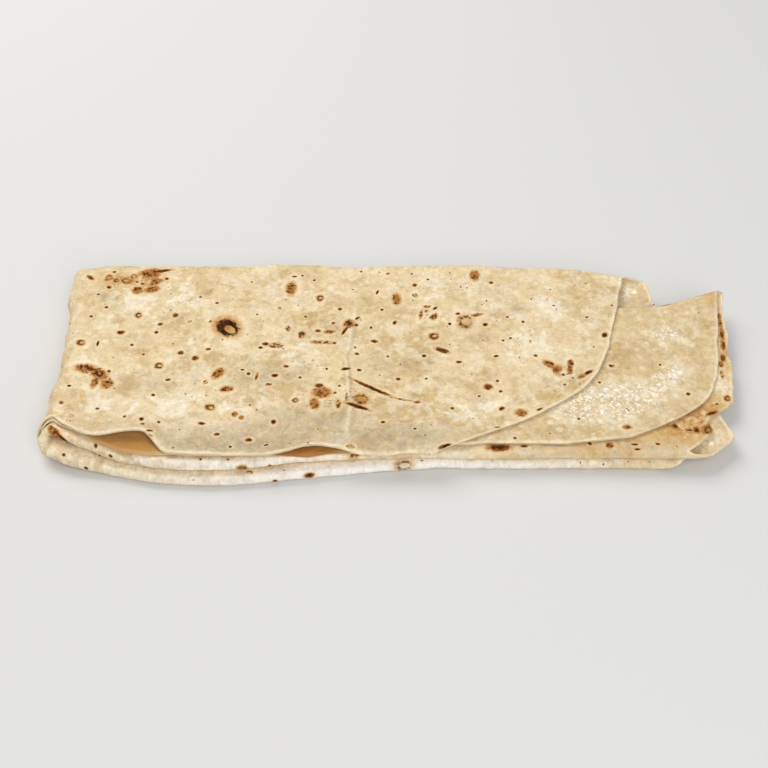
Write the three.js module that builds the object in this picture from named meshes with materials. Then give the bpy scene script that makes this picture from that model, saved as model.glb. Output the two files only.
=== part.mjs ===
// A chapati: one large, thin, round wheat flatbread, folded into a long flat packet.
//
// The round is folded in half, both halves are folded back over themselves as caps, and the
// strip is then folded across at its left end, with the second half turned underneath. That
// makes eight layers of one unbroken sheet:
//
//   7 outer cap, 6 inner cap, 5 inner strip, 4 outer strip     (upper half)
//   3 outer strip, 2 inner strip, 1 inner cap, 0 outer cap     (lower half, turned under)
//
// The sheet is one grid of points on its middle surface. Its rows run along the packet, from
// the free edge of the outer cap, round the three folds, to the free edge of the inner cap.
// Its columns run from the right end of the upper half, round the left fold, to the right end
// of the lower half. The grid is then given its thickness on both sides.
//
// Millimetres, +Z up. While it is laid out, along (u) is measured from the left end of the
// packet and depth (v) from its front line. The finished packet is centred on the Z axis and
// rests on z = 0.
import * as THREE from 'three';

// Driving dimensions.
const THICKNESS = 1.0; // of the rolled-out sheet
const GAP = 0.5; // air between two layers that lie on each other
const PITCH = THICKNESS + GAP;
const PACKET_DEPTH = 123.5; // from the front line to the outer back fold
const LEFT_AXIS = 4; // line that the left fold turns about, from the left end
const LEFT_BOW = 4; // how far the left end pulls in between its corners
const LEFT_BOW_REACH = 150;
const LEFT_BOW_DEPTH = 117;
const LEFT_FOLD_AIR = { rise: 1.2, reach: 30 }; // between the two halves, at the left fold
const FOLD_FULLNESS = 0.28; // least roundness of a fold that runs askew

// Right edge of each layer: two straight stretches with a round corner between them. Front is
// the layer's length at depth 0 and spread what each mm of depth adds to it; back is its length
// at BACK_DEPTH and lean what each mm adds there; corner is how softly the two run together.
const RIGHT_EDGES = {
  upper: {
    outerCap: { front: 171, spread: 2.13, back: 262.5, lean: 0.25, corner: 16 },
    innerCap: { front: 236, spread: 2.2, back: 309.5, lean: 0.14, corner: 16 },
    innerStrip: { front: 277, spread: 1.2, back: 312, lean: 0.065, corner: 6 },
    outerStrip: { front: 288.5, spread: 1.2, back: 280.2, lean: -0.27, corner: 2 },
  },
  lower: {
    outerCap: { front: 165, spread: 2.1, back: 255, lean: 0.22, corner: 16 },
    innerCap: { front: 226, spread: 2.2, back: 291, lean: 0.12, corner: 16 },
    innerStrip: { front: 268, spread: 1.2, back: 297, lean: 0.06, corner: 8 },
    outerStrip: { front: 276, spread: 1.2, back: 265, lean: -0.25, corner: 3 },
  },
};
const BACK_DEPTH = 100;
const NOTCH = { depth: 8, at: 24.5, width: 6.5 }; // tear in the right edge of the inner strip

// Rolls along the front, where the strips join. Bulge is how far each comes forward of its
// straight line, around the middle of the left half, and a corner is how far its left end goes
// back.
const FRONT_ROLLS = {
  upper: { line: 1.4, opening: 2.2, swell: 1.3, bulge: 6.5, left: 55, right: 75 },
  lower: { line: 0, opening: 2.4, swell: 0.2, bulge: 9.5, left: 62, right: 110 },
};
const ROLL_CORNERS = { upper: { back: 12, reach: 46 }, lower: { back: 7, reach: 20 } };
const BULGE_AT = 68;
const SWELL_REACH = 60;
const CHEEK = { rise: 1.6, at: 12, left: 12, right: 24 }; // swollen left end of the lower roll
const ROLL_REACH = 18; // how far back a roll holds its two layers apart
const PINCH = { at: 9, reach: 9, depth: 1 }; // pressed-together corner of the upper roll

// Back folds.
const BACK_CORNER = { left: 3, leftReach: 60, right: 7, rightFrom: 190, rightReach: 75 };
const INNER_FOLD = { depth: 93, left: 7, leftReach: 220, right: 9, rightFrom: 262, rightReach: 47 };
const INNER_FOLD_AIR = 0.8;
const INNER_FOLD_REACH = 22;

// Free front edges of the caps.
const OUTER_CAP_EDGE = { corner: 23, reach: 48 };
const LIP = { at: 44, left: 27, right: 14, pull: 10.6, rise: 3.2, fade: 22, from: 8 };
const SAG = { at: 88, left: 30, right: 20, drop: 1.5 };
const POCKET = { at: 121, left: 22, right: 22, pull: 3.2, rise: 1.6, fade: 18, from: 1 };
const INNER_CAP_EDGE = { corner: 17.5, cornerReach: 48, left: 3.5, leftReach: 55 };
const INNER_CAP_RIGHT = { inset: 7, from: 110, reach: 90, end: 6.2, endFrom: 225, endReach: 43 };
const LOWER_CAP_EDGES = { outerCap: { left: 11, inset: 22 }, innerCap: { left: 12.5, inset: 19 } };
const LOWER_CAP_REACH = 45;
const DROOP_SLACK = 1.2; // the caps bend over the front roll a little wider than they would lie on it
const SETTLE_REACH = 20; // in front of a lower cap, the layers above it sink by one pitch

// Lifted corners, and the soft waves of the whole packet.
const CAP_CORNER = { rise: 3, from: 275, reach: 34, back: 55, backReach: 45 };
const STRIP_CORNER = { rise: 1.6, from: 256, reach: 14, back: 100, backReach: 12 };
const RIGHT_SAG = { drop: 1.0, from: 250, reach: 55 };
const WAVES = [
  { rise: 0.55, along: 62, across: 95, phase: 0.4 },
  { rise: 0.35, along: 37, across: 58, phase: 2.1 },
];

// Rows of the sheet: how far behind a panel's front line each lies, on a panel that reaches
// back to the outer fold. An inner panel has those that lie in front of the inner fold.
const ROW_DEPTHS = [0, 4.5, 9, 14, 20, 30, 46, 62, 74, 83, 93, 103, 112];
const ROW_CLEARANCE = 3; // least distance from the last of them to the fold
const FOLD_STEPS = 6;
const LEFT_FOLD_STEPS = 8;
const UPPER_COLUMNS = 24;
const LOWER_COLUMNS = 12;
const COLUMN_GRADING = 1.25; // above 1 the columns crowd towards the left fold

const MIDDLE = 155; // where the depths of the rows are measured
const EDGE_ROUNDS = 12; // steps that find where a row meets the right edge

const LAYER = {
  lower: { outerCap: 0, innerCap: 1, innerStrip: 2, outerStrip: 3 },
  upper: { outerStrip: 4, innerStrip: 5, innerCap: 6, outerCap: 7 },
};

/** 0 up to start, 1 from start + reach on, with a smooth S between them. */
function ease(value, start, reach) {
  const t = Math.min(1, Math.max(0, (value - start) / reach));
  return t * t * (3 - 2 * t);
}

/** A smooth hump of height 1 at a place, down to 0 at its left and right reach. */
function hump(u, at, left, right) {
  const share = (u - at) / (u < at ? left : right);
  return Math.abs(share) < 1 ? Math.cos((share * Math.PI) / 2) ** 2 : 0;
}

/** A curve that grows as the square of the way past a start, in units of its reach. */
function flick(value, start, reach) {
  return Math.max(0, (value - start) / reach) ** 2;
}

/** Inner height of a front roll. */
function rollOpening(half, u) {
  const roll = FRONT_ROLLS[half];
  const swell = roll.swell * hump(u, BULGE_AT, SWELL_REACH, SWELL_REACH);
  const end = half === 'upper'
    ? -PINCH.depth * hump(u, PINCH.at, PINCH.reach, PINCH.reach)
    : CHEEK.rise * hump(u, CHEEK.at, CHEEK.left, CHEEK.right);
  return roll.opening + swell + end;
}

/** Radius of the middle surface of a front roll. */
function rollRadius(half, u) {
  return (THICKNESS + rollOpening(half, u)) / 2;
}

/** Depth at which a front roll starts to turn. */
function rollStart(half, u) {
  const roll = FRONT_ROLLS[half];
  const bulge = roll.bulge * hump(u, BULGE_AT, roll.left, roll.right);
  const { back, reach } = ROLL_CORNERS[half];
  const corner = back * flick(-u, -reach, reach);
  return roll.line - bulge + corner + THICKNESS / 2 + rollRadius(half, u);
}

/** Depth at which the outer back fold starts to turn. */
function outerFoldStart(u) {
  const left = BACK_CORNER.left * flick(-u, -BACK_CORNER.leftReach, BACK_CORNER.leftReach);
  const right = BACK_CORNER.right * flick(u, BACK_CORNER.rightFrom, BACK_CORNER.rightReach);
  return PACKET_DEPTH - left - right - (THICKNESS + 3 * PITCH) / 2;
}

/** Depth at which the inner back fold starts to turn. */
function innerFoldStart(u) {
  const left = INNER_FOLD.left * flick(-u, -INNER_FOLD.leftReach, INNER_FOLD.leftReach);
  const right = INNER_FOLD.right * flick(u, INNER_FOLD.rightFrom, INNER_FOLD.rightReach);
  const radius = (PITCH + INNER_FOLD_AIR) / 2;
  return INNER_FOLD.depth + left + right - radius - THICKNESS / 2;
}

/** Depth of a panel's front line: a front roll for a strip, a free edge for a cap. */
function frontLine(half, panel, u) {
  if (panel === 'outerStrip' || panel === 'innerStrip') {
    return rollStart(half, u);
  }
  if (half === 'lower') {
    const { left, inset } = LOWER_CAP_EDGES[panel];
    return left + (inset - left) * ease(u, LEFT_AXIS, LOWER_CAP_REACH);
  }
  if (panel === 'innerCap') {
    const { corner, cornerReach, left, leftReach } = INNER_CAP_EDGE;
    const { inset, from, reach, end, endFrom, endReach } = INNER_CAP_RIGHT;
    return (
      corner * flick(-u, -cornerReach, cornerReach) + left * hump(u, 0, leftReach, leftReach) +
      inset * ease(u, from, reach) + end * flick(u, endFrom, endReach)
    );
  }
  return (
    OUTER_CAP_EDGE.corner * flick(-u, -OUTER_CAP_EDGE.reach, OUTER_CAP_EDGE.reach) +
    LIP.pull * hump(u, LIP.at, LIP.left, LIP.right) -
    SAG.drop * hump(u, SAG.at, SAG.left, SAG.right) +
    POCKET.pull * hump(u, POCKET.at, POCKET.left, POCKET.right)
  );
}

/** Depth of a panel's back line, where one of the two back folds starts. */
function backLine(panel, u) {
  return panel === 'outerCap' || panel === 'outerStrip' ? outerFoldStart(u) : innerFoldStart(u);
}

/** Length of a panel at a depth: the shorter of its edge's two stretches, rounded where they
 *  meet. */
function rightEdge(half, panel, v) {
  const edge = RIGHT_EDGES[half][panel];
  const front = edge.front + edge.spread * v;
  const back = edge.back + edge.lean * (v - BACK_DEPTH);
  const rounding = Math.log(1 + Math.exp(-Math.abs(front - back) / edge.corner));
  let length = Math.min(front, back) - edge.corner * rounding;
  if (half === 'upper' && panel === 'innerStrip') {
    length -= NOTCH.depth * Math.exp(-(((v - NOTCH.at) / NOTCH.width) ** 2));
  }
  return length;
}

/** Extra air that a front roll holds open behind it. */
function rollAir(half, u, v) {
  return (rollOpening(half, u) - GAP) * (1 - ease(v, rollStart(half, u), ROLL_REACH));
}

/** Extra air at the inner back fold, which fades to both sides of it. */
function innerFoldAir(u, v) {
  return INNER_FOLD_AIR * hump(v, innerFoldStart(u), INNER_FOLD_REACH, INNER_FOLD_REACH);
}

/** Extra air under the outer cap: the raised lip and the shallow pocket beside it. */
function pocketAir(u, v) {
  return [LIP, POCKET].reduce((air, pocket) => {
    const fade = 1 - ease(v, pocket.from, pocket.fade);
    return air + pocket.rise * hump(u, pocket.at, pocket.left, pocket.right) * fade;
  }, 0);
}

/** How far a layer sinks in front of the lower caps that would carry it. */
function settle(layer, u, v) {
  return ['outerCap', 'innerCap'].reduce((drop, cap) => {
    if (layer <= LAYER.lower[cap]) {
      return drop;
    }
    return drop + PITCH * (1 - ease(v, frontLine('lower', cap, u) - SETTLE_REACH, SETTLE_REACH));
  }, 0);
}

/** How far a cap bends down over the upper front roll. */
function capDroop(layer, u, v) {
  const radius = rollRadius('upper', u) + (layer - LAYER.upper.innerStrip) * PITCH + DROOP_SLACK;
  const ahead = Math.max(0, rollStart('upper', u) - v);
  return radius - Math.sqrt(Math.max(radius ** 2 - ahead ** 2, 0.3 * radius ** 2));
}

/** The packet's soft waves, from nothing on the lowest layers to their full height on top. */
function wave(layer, u, v) {
  const full = WAVES.reduce((sum, { rise, along, across, phase }) => {
    return sum + rise * Math.sin((Math.PI * u) / along + phase) * Math.cos((Math.PI * v) / across + phase);
  }, 0);
  const calm = LAYER.lower.innerStrip;
  return (full * Math.max(0, layer - calm)) / (LAYER.upper.outerCap - calm);
}

/** Height of the middle surface of a layer. */
function height(layer, u, v) {
  const { lower, upper } = LAYER;
  const settled = settle(layer, u, v);
  let z = THICKNESS / 2 + layer * PITCH + wave(layer, u, v) - settled;
  if (layer >= lower.innerCap) {
    const room = 1 - settled / (2 * PITCH);
    z -= RIGHT_SAG.drop * room * ease(u, RIGHT_SAG.from, RIGHT_SAG.reach);
  }
  if (layer >= lower.innerStrip) {
    z += innerFoldAir(u, v);
  }
  if (layer >= lower.outerStrip) {
    z += rollAir('lower', u, v);
  }
  if (layer >= upper.outerStrip) {
    z += LEFT_FOLD_AIR.rise * (1 - ease(u, LEFT_AXIS, LEFT_FOLD_AIR.reach));
  }
  if (layer >= upper.innerStrip) {
    z += rollAir('upper', u, v);
  }
  if (layer >= upper.innerCap) {
    z += innerFoldAir(u, v) - capDroop(layer, u, v);
  }
  if (layer >= upper.outerCap) {
    z += pocketAir(u, v);
  }
  if (layer === upper.innerStrip || layer === upper.innerCap) {
    z += CAP_CORNER.rise * ease(u, CAP_CORNER.from, CAP_CORNER.reach)
      * ease(v, CAP_CORNER.back, CAP_CORNER.backReach);
  }
  if (layer === upper.outerStrip) {
    z += STRIP_CORNER.rise * ease(u, STRIP_CORNER.from, STRIP_CORNER.reach)
      * ease(v, STRIP_CORNER.back, STRIP_CORNER.backReach);
  }
  return z;
}

/** Depth of a row of a panel: depthShare of the way from its front line to its back line. */
function rowDepth(half, panel, depthShare, u) {
  return THREE.MathUtils.lerp(frontLine(half, panel, u), backLine(panel, u), depthShare);
}

/** Length of a row of a panel: where it meets the right edge, found by going back and forth
 *  between the two. */
function rowLength(half, panel, depthShare) {
  let length = MIDDLE;
  for (let round = 0; round < EDGE_ROUNDS; round += 1) {
    length = rightEdge(half, panel, rowDepth(half, panel, depthShare, length));
  }
  return length;
}

/** Point on a panel: depthShare from its front line to its back line, lengthShare from the
 *  left fold to its right edge. */
function panelPoint(half, panel, depthShare, lengthShare) {
  const u = LEFT_AXIS + lengthShare * (rowLength(half, panel, depthShare) - LEFT_AXIS);
  const v = rowDepth(half, panel, depthShare, u);
  return new THREE.Vector3(u, v, height(LAYER[half][panel], u, v));
}

/** Point on the round fold from one point to another, which bulges outward by half their
 *  difference in height. Turn runs from -1 at the first point to 1 at the second. Where the
 *  points lie askew, the fold keeps a least roundness. */
function turnPoint(from, to, outward, turn) {
  const middle = from.clone().add(to).multiplyScalar(0.5);
  const arm = to.clone().sub(from).multiplyScalar(0.5);
  const angle = (turn * Math.PI) / 2;
  const bulge = Math.max(Math.abs(arm.z), FOLD_FULLNESS * arm.length());
  const reach = outward.clone().multiplyScalar(bulge * Math.cos(angle));
  return middle.addScaledVector(arm, Math.sin(angle)).add(reach);
}

const FRONT = new THREE.Vector3(0, -1, 0);
const BACK = new THREE.Vector3(0, 1, 0);
const LEFT = new THREE.Vector3(-1, 0, 0);

/** Where the rows of a panel lie, as shares of its depth, from its front line to its back. */
function rowShares(panel) {
  const depth = backLine(panel, MIDDLE) - frontLine('upper', panel, MIDDLE);
  const inside = ROW_DEPTHS.filter((rowDepth) => rowDepth < depth - ROW_CLEARANCE);
  return [...inside.map((rowDepth) => rowDepth / depth), 1];
}

/** One function for each row of the sheet: the point of that row on a half of the packet. */
function sheetRows() {
  const panelRows = (panel) => rowShares(panel).map(
    (depthShare) => (half, lengthShare) => panelPoint(half, panel, depthShare, lengthShare),
  );
  const foldRows = (first, second, depthShare, outward) => {
    const steps = Array.from({ length: FOLD_STEPS - 1 }, (_, i) => (2 * (i + 1)) / FOLD_STEPS - 1);
    return steps.map((turn) => (half, lengthShare) => turnPoint(
      panelPoint(half, first, depthShare, lengthShare),
      panelPoint(half, second, depthShare, lengthShare),
      outward,
      turn,
    ));
  };
  return [
    ...panelRows('outerCap'),
    ...foldRows('outerCap', 'outerStrip', 1, BACK),
    ...panelRows('outerStrip').reverse(),
    ...foldRows('outerStrip', 'innerStrip', 0, FRONT),
    ...panelRows('innerStrip'),
    ...foldRows('innerStrip', 'innerCap', 1, BACK),
    ...panelRows('innerCap').reverse(),
  ];
}

/** The left end pulls in between its corners, and the pull fades along the packet. */
function bowed(point) {
  const depth = Math.min(1, Math.max(0, point.y / LEFT_BOW_DEPTH));
  const fade = flick(-point.x, -LEFT_BOW_REACH, LEFT_BOW_REACH);
  point.x += LEFT_BOW * Math.sin(depth * Math.PI) * Math.min(1, fade);
  return point;
}

/** The whole middle surface, as rows of points. */
function sheetGrid() {
  const shares = (count) => Array.from({ length: count + 1 }, (_, i) => (i / count) ** COLUMN_GRADING);
  const turns = Array.from({ length: LEFT_FOLD_STEPS - 1 }, (_, i) => (2 * (i + 1)) / LEFT_FOLD_STEPS - 1);
  return sheetRows().map((pointOf) => {
    const upper = shares(UPPER_COLUMNS).reverse().map((share) => pointOf('upper', share));
    const lower = shares(LOWER_COLUMNS).map((share) => pointOf('lower', share));
    const fold = turns.map((turn) => turnPoint(pointOf('upper', 0), pointOf('lower', 0), LEFT, turn));
    return [...upper, ...fold, ...lower].map(bowed);
  });
}

/** Unit normal of the grid at a point, from its neighbours along and across the sheet. */
function gridNormal(grid, row, column) {
  const { clamp } = THREE.MathUtils;
  const at = (i, j) => grid[clamp(i, 0, grid.length - 1)][clamp(j, 0, grid[0].length - 1)];
  const across = at(row + 1, column).clone().sub(at(row - 1, column));
  const along = at(row, column + 1).clone().sub(at(row, column - 1));
  return along.cross(across).normalize();
}

/** Closed solid of a grid: the two faces, and a rim along all four sides. */
function sheetSolid(grid, thickness) {
  const rows = grid.length;
  const columns = grid[0].length;
  const positions = [];
  for (const side of [0.5, -0.5]) {
    grid.forEach((line, i) => line.forEach((point, j) => {
      const shifted = point.clone().addScaledVector(gridNormal(grid, i, j), side * thickness);
      positions.push(shifted.x, shifted.y, shifted.z);
    }));
  }
  const near = (i, j) => i * columns + j;
  const far = (i, j) => (rows + i) * columns + j;
  const triangles = [];
  const quad = (a, b, c, d) => triangles.push(a, b, c, a, c, d);
  for (let i = 0; i < rows - 1; i += 1) {
    for (let j = 0; j < columns - 1; j += 1) {
      quad(near(i, j), near(i, j + 1), near(i + 1, j + 1), near(i + 1, j));
      quad(far(i, j), far(i + 1, j), far(i + 1, j + 1), far(i, j + 1));
    }
    quad(near(i, 0), near(i + 1, 0), far(i + 1, 0), far(i, 0));
    quad(near(i + 1, columns - 1), near(i, columns - 1), far(i, columns - 1), far(i + 1, columns - 1));
  }
  for (let j = 0; j < columns - 1; j += 1) {
    quad(near(0, j + 1), near(0, j), far(0, j), far(0, j + 1));
    quad(near(rows - 1, j), near(rows - 1, j + 1), far(rows - 1, j + 1), far(rows - 1, j));
  }
  const geometry = new THREE.BufferGeometry();
  geometry.setAttribute('position', new THREE.Float32BufferAttribute(positions, 3));
  geometry.setIndex(triangles);
  return geometry;
}

/** The folded bread, centred on the Z axis and resting on z = 0. */
function chapati() {
  const geometry = sheetSolid(sheetGrid(), THICKNESS);
  geometry.computeBoundingBox();
  const { min, max } = geometry.boundingBox;
  geometry.translate(-(min.x + max.x) / 2, -(min.y + max.y) / 2, -min.z);
  geometry.computeVertexNormals();
  const crust = new THREE.MeshStandardMaterial({ color: 0xe3cca3, roughness: 0.75, metalness: 0 });
  const mesh = new THREE.Mesh(geometry, crust);
  mesh.name = 'chapati';
  return mesh;
}

const packet = new THREE.Group();
packet.add(chapati());

export default packet;
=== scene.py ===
"""A chapati folded into a long flat packet: the fold of its sheet, its griddle marks and its crust.

The sheet is one grid of points on its middle surface. Rows run along the packet, from the free
edge of the outer cap, round the three folds, to the free edge of the inner cap. Columns run from
the right end of the upper half, round the left fold, to the right end of the lower half. The
fold map works in millimetres, with u along the packet from its left end, v back from its front
line and z up; the finished mesh is in metres, in the frame's own place.
"""

import logging
import math
from dataclasses import dataclass, field
from enum import Enum

import bpy
import numpy as np
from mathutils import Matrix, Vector


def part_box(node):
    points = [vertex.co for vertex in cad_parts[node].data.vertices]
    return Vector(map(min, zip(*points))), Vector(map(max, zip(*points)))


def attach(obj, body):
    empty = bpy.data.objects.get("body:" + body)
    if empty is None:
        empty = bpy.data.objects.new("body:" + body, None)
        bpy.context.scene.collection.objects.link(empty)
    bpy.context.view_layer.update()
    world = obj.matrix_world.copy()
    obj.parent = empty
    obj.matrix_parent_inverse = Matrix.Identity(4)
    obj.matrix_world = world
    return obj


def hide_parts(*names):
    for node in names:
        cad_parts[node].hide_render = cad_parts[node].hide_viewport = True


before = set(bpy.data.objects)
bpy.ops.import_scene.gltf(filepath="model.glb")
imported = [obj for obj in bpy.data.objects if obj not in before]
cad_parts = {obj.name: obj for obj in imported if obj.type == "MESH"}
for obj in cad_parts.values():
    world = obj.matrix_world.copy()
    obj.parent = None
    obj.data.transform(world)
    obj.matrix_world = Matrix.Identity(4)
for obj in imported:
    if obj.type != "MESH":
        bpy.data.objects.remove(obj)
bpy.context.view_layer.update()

log = logging.getLogger("chapati")
Array = np.ndarray

MM = 0.001
RIPPLE_SHARES = (1.0, 0.61, 0.37)
RIPPLE_HEIGHT = 1.6
TINY = 1e-9


# ---------------------------------------------------------------- curves that shape the sheet


def ease(value: Array, start: float, reach: float) -> Array:
    """A smooth S: 0 up to start, 1 from start + reach on, 3t^2 - 2t^3 between them.

    Args:
        value: Where it is read.
        start: Where the S leaves 0.
        reach: How far on it arrives at 1.

    Returns:
        Shares from 0 to 1.
    """
    t = np.clip((value - start) / reach, 0.0, 1.0)
    return t * t * (3.0 - 2.0 * t)


def hump(value: Array, at: float, left: float, right: float) -> Array:
    """A smooth hump: the squared cosine of the way to its left or right reach.

    Args:
        value: Where it is read.
        at: Place of its top, where it is 1.
        left: How far below that it comes down to 0.
        right: How far above that it comes down to 0.

    Returns:
        Shares from 0 to 1.
    """
    share = (value - at) / np.where(value < at, left, right)
    return np.where(np.abs(share) < 1.0, np.cos(np.clip(share, -1, 1) * math.pi / 2) ** 2, 0.0)


def flick(value: Array, start: float, reach: float) -> Array:
    """A curve that grows as the square of the way past its start, in units of its reach.

    Args:
        value: Where it is read.
        start: Where it leaves 0.
        reach: How far on it is 1.

    Returns:
        Values from 0 up.
    """
    return np.maximum(0.0, (value - start) / reach) ** 2


def ripple(value: Array, wave: float, seed: int) -> Array:
    """An uneven line: three sines of falling wave length and height, with seeded phases.

    Args:
        value: Where it is read, in millimetres.
        wave: Longest wave length.
        seed: Draws the phases.

    Returns:
        Values from about -1 to 1.
    """
    phases = np.random.default_rng(seed).uniform(0.0, 2.0 * math.pi, 3)
    sines = [
        s * np.sin(2.0 * math.pi * value / (wave * s) + p) for s, p in zip(RIPPLE_SHARES, phases)
    ]
    return sum(sines) / RIPPLE_HEIGHT


def lerp(first: Array, last: Array, share: Array) -> Array:
    """The point that lies a share of the way from first to last."""
    return first + (last - first) * share


# ---------------------------------------------------------------- names of the sheet's regions


class Half(Enum):
    """The two halves of the strip, one over the other."""

    UPPER = "upper"
    LOWER = "lower"


class Part(Enum):
    """Bands of the sheet, in the order in which its rows run through them."""

    OUTER_CAP = 0
    OUTER_BACK = 1
    OUTER_STRIP = 2
    FRONT = 3
    INNER_STRIP = 4
    INNER_BACK = 5
    INNER_CAP = 6


class Face(Enum):
    """Faces of the packet that carry marks: their half, their band and their side of the sheet.

    Side 1 was on the outside when the sheet was folded in half, side 0 on the inside.
    """

    TOP = (Half.UPPER, Part.OUTER_CAP, 1)
    INNER_TOP = (Half.UPPER, Part.INNER_CAP, 0)
    SHELF = (Half.UPPER, Part.INNER_STRIP, 1)
    FLAP = (Half.UPPER, Part.OUTER_STRIP, 0)
    UPPER_ROLL = (Half.UPPER, Part.FRONT, 1)
    LOWER_ROLL = (Half.LOWER, Part.FRONT, 1)


# ---------------------------------------------------------------- the fold map


@dataclass(frozen=True)
class Bend:
    """How far a line gives way, where that starts and over what reach. At -u it runs leftwards."""

    amount: float
    start: float
    reach: float

    def eased(self, value: Array) -> Array:
        """The amount times a smooth S."""
        return self.amount * ease(value, self.start, self.reach)

    def flicked(self, value: Array) -> Array:
        """The amount times the square of the way past the start."""
        return self.amount * flick(value, self.start, self.reach)


@dataclass(frozen=True)
class Waver:
    """How far a line wavers, its longest wave and the seed of its phases."""

    height: float
    wave: float
    seed: int

    def at(self, value: Array, number: int = 0) -> Array:
        """The line's height; each number makes another line of its kind."""
        return self.height * ripple(value, self.wave, self.seed + number)


@dataclass(frozen=True)
class FrontRoll:
    """A roll along the front: its line, its inner height, its bulge and its drawn-back corner."""

    line: float
    opening: float
    swell: float
    bulge: float
    left: float
    right: float
    corner: Bend
    layer: int


@dataclass(frozen=True)
class RightEdge:
    """A right edge of two straight stretches with a round corner, and how ragged it is.

    Front is the length at depth 0 and spread what each mm of depth adds; back is the length at
    the back depth and lean what each mm adds there.
    """

    front: float
    spread: float
    back: float
    lean: float
    corner: float
    ragged: float


@dataclass(frozen=True)
class Pocket:
    """A stretch of the outer cap's front edge that is drawn back and lifted."""

    at: float
    left: float
    right: float
    pull: float
    rise: float
    start: float
    fade: float


@dataclass(frozen=True)
class Swell:
    """A soft hill or hollow of the whole upper stack, or of one layer."""

    u: float
    v: float
    length: float
    width: float
    rise: float


PANELS = (Part.OUTER_CAP, Part.INNER_CAP, Part.INNER_STRIP, Part.OUTER_STRIP)
TOP_LAYER = 2 * len(PANELS) - 1
LAYER = {(Half.LOWER, part): number for number, part in enumerate(PANELS)}
LAYER |= {(Half.UPPER, part): TOP_LAYER - number for number, part in enumerate(PANELS)}


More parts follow.
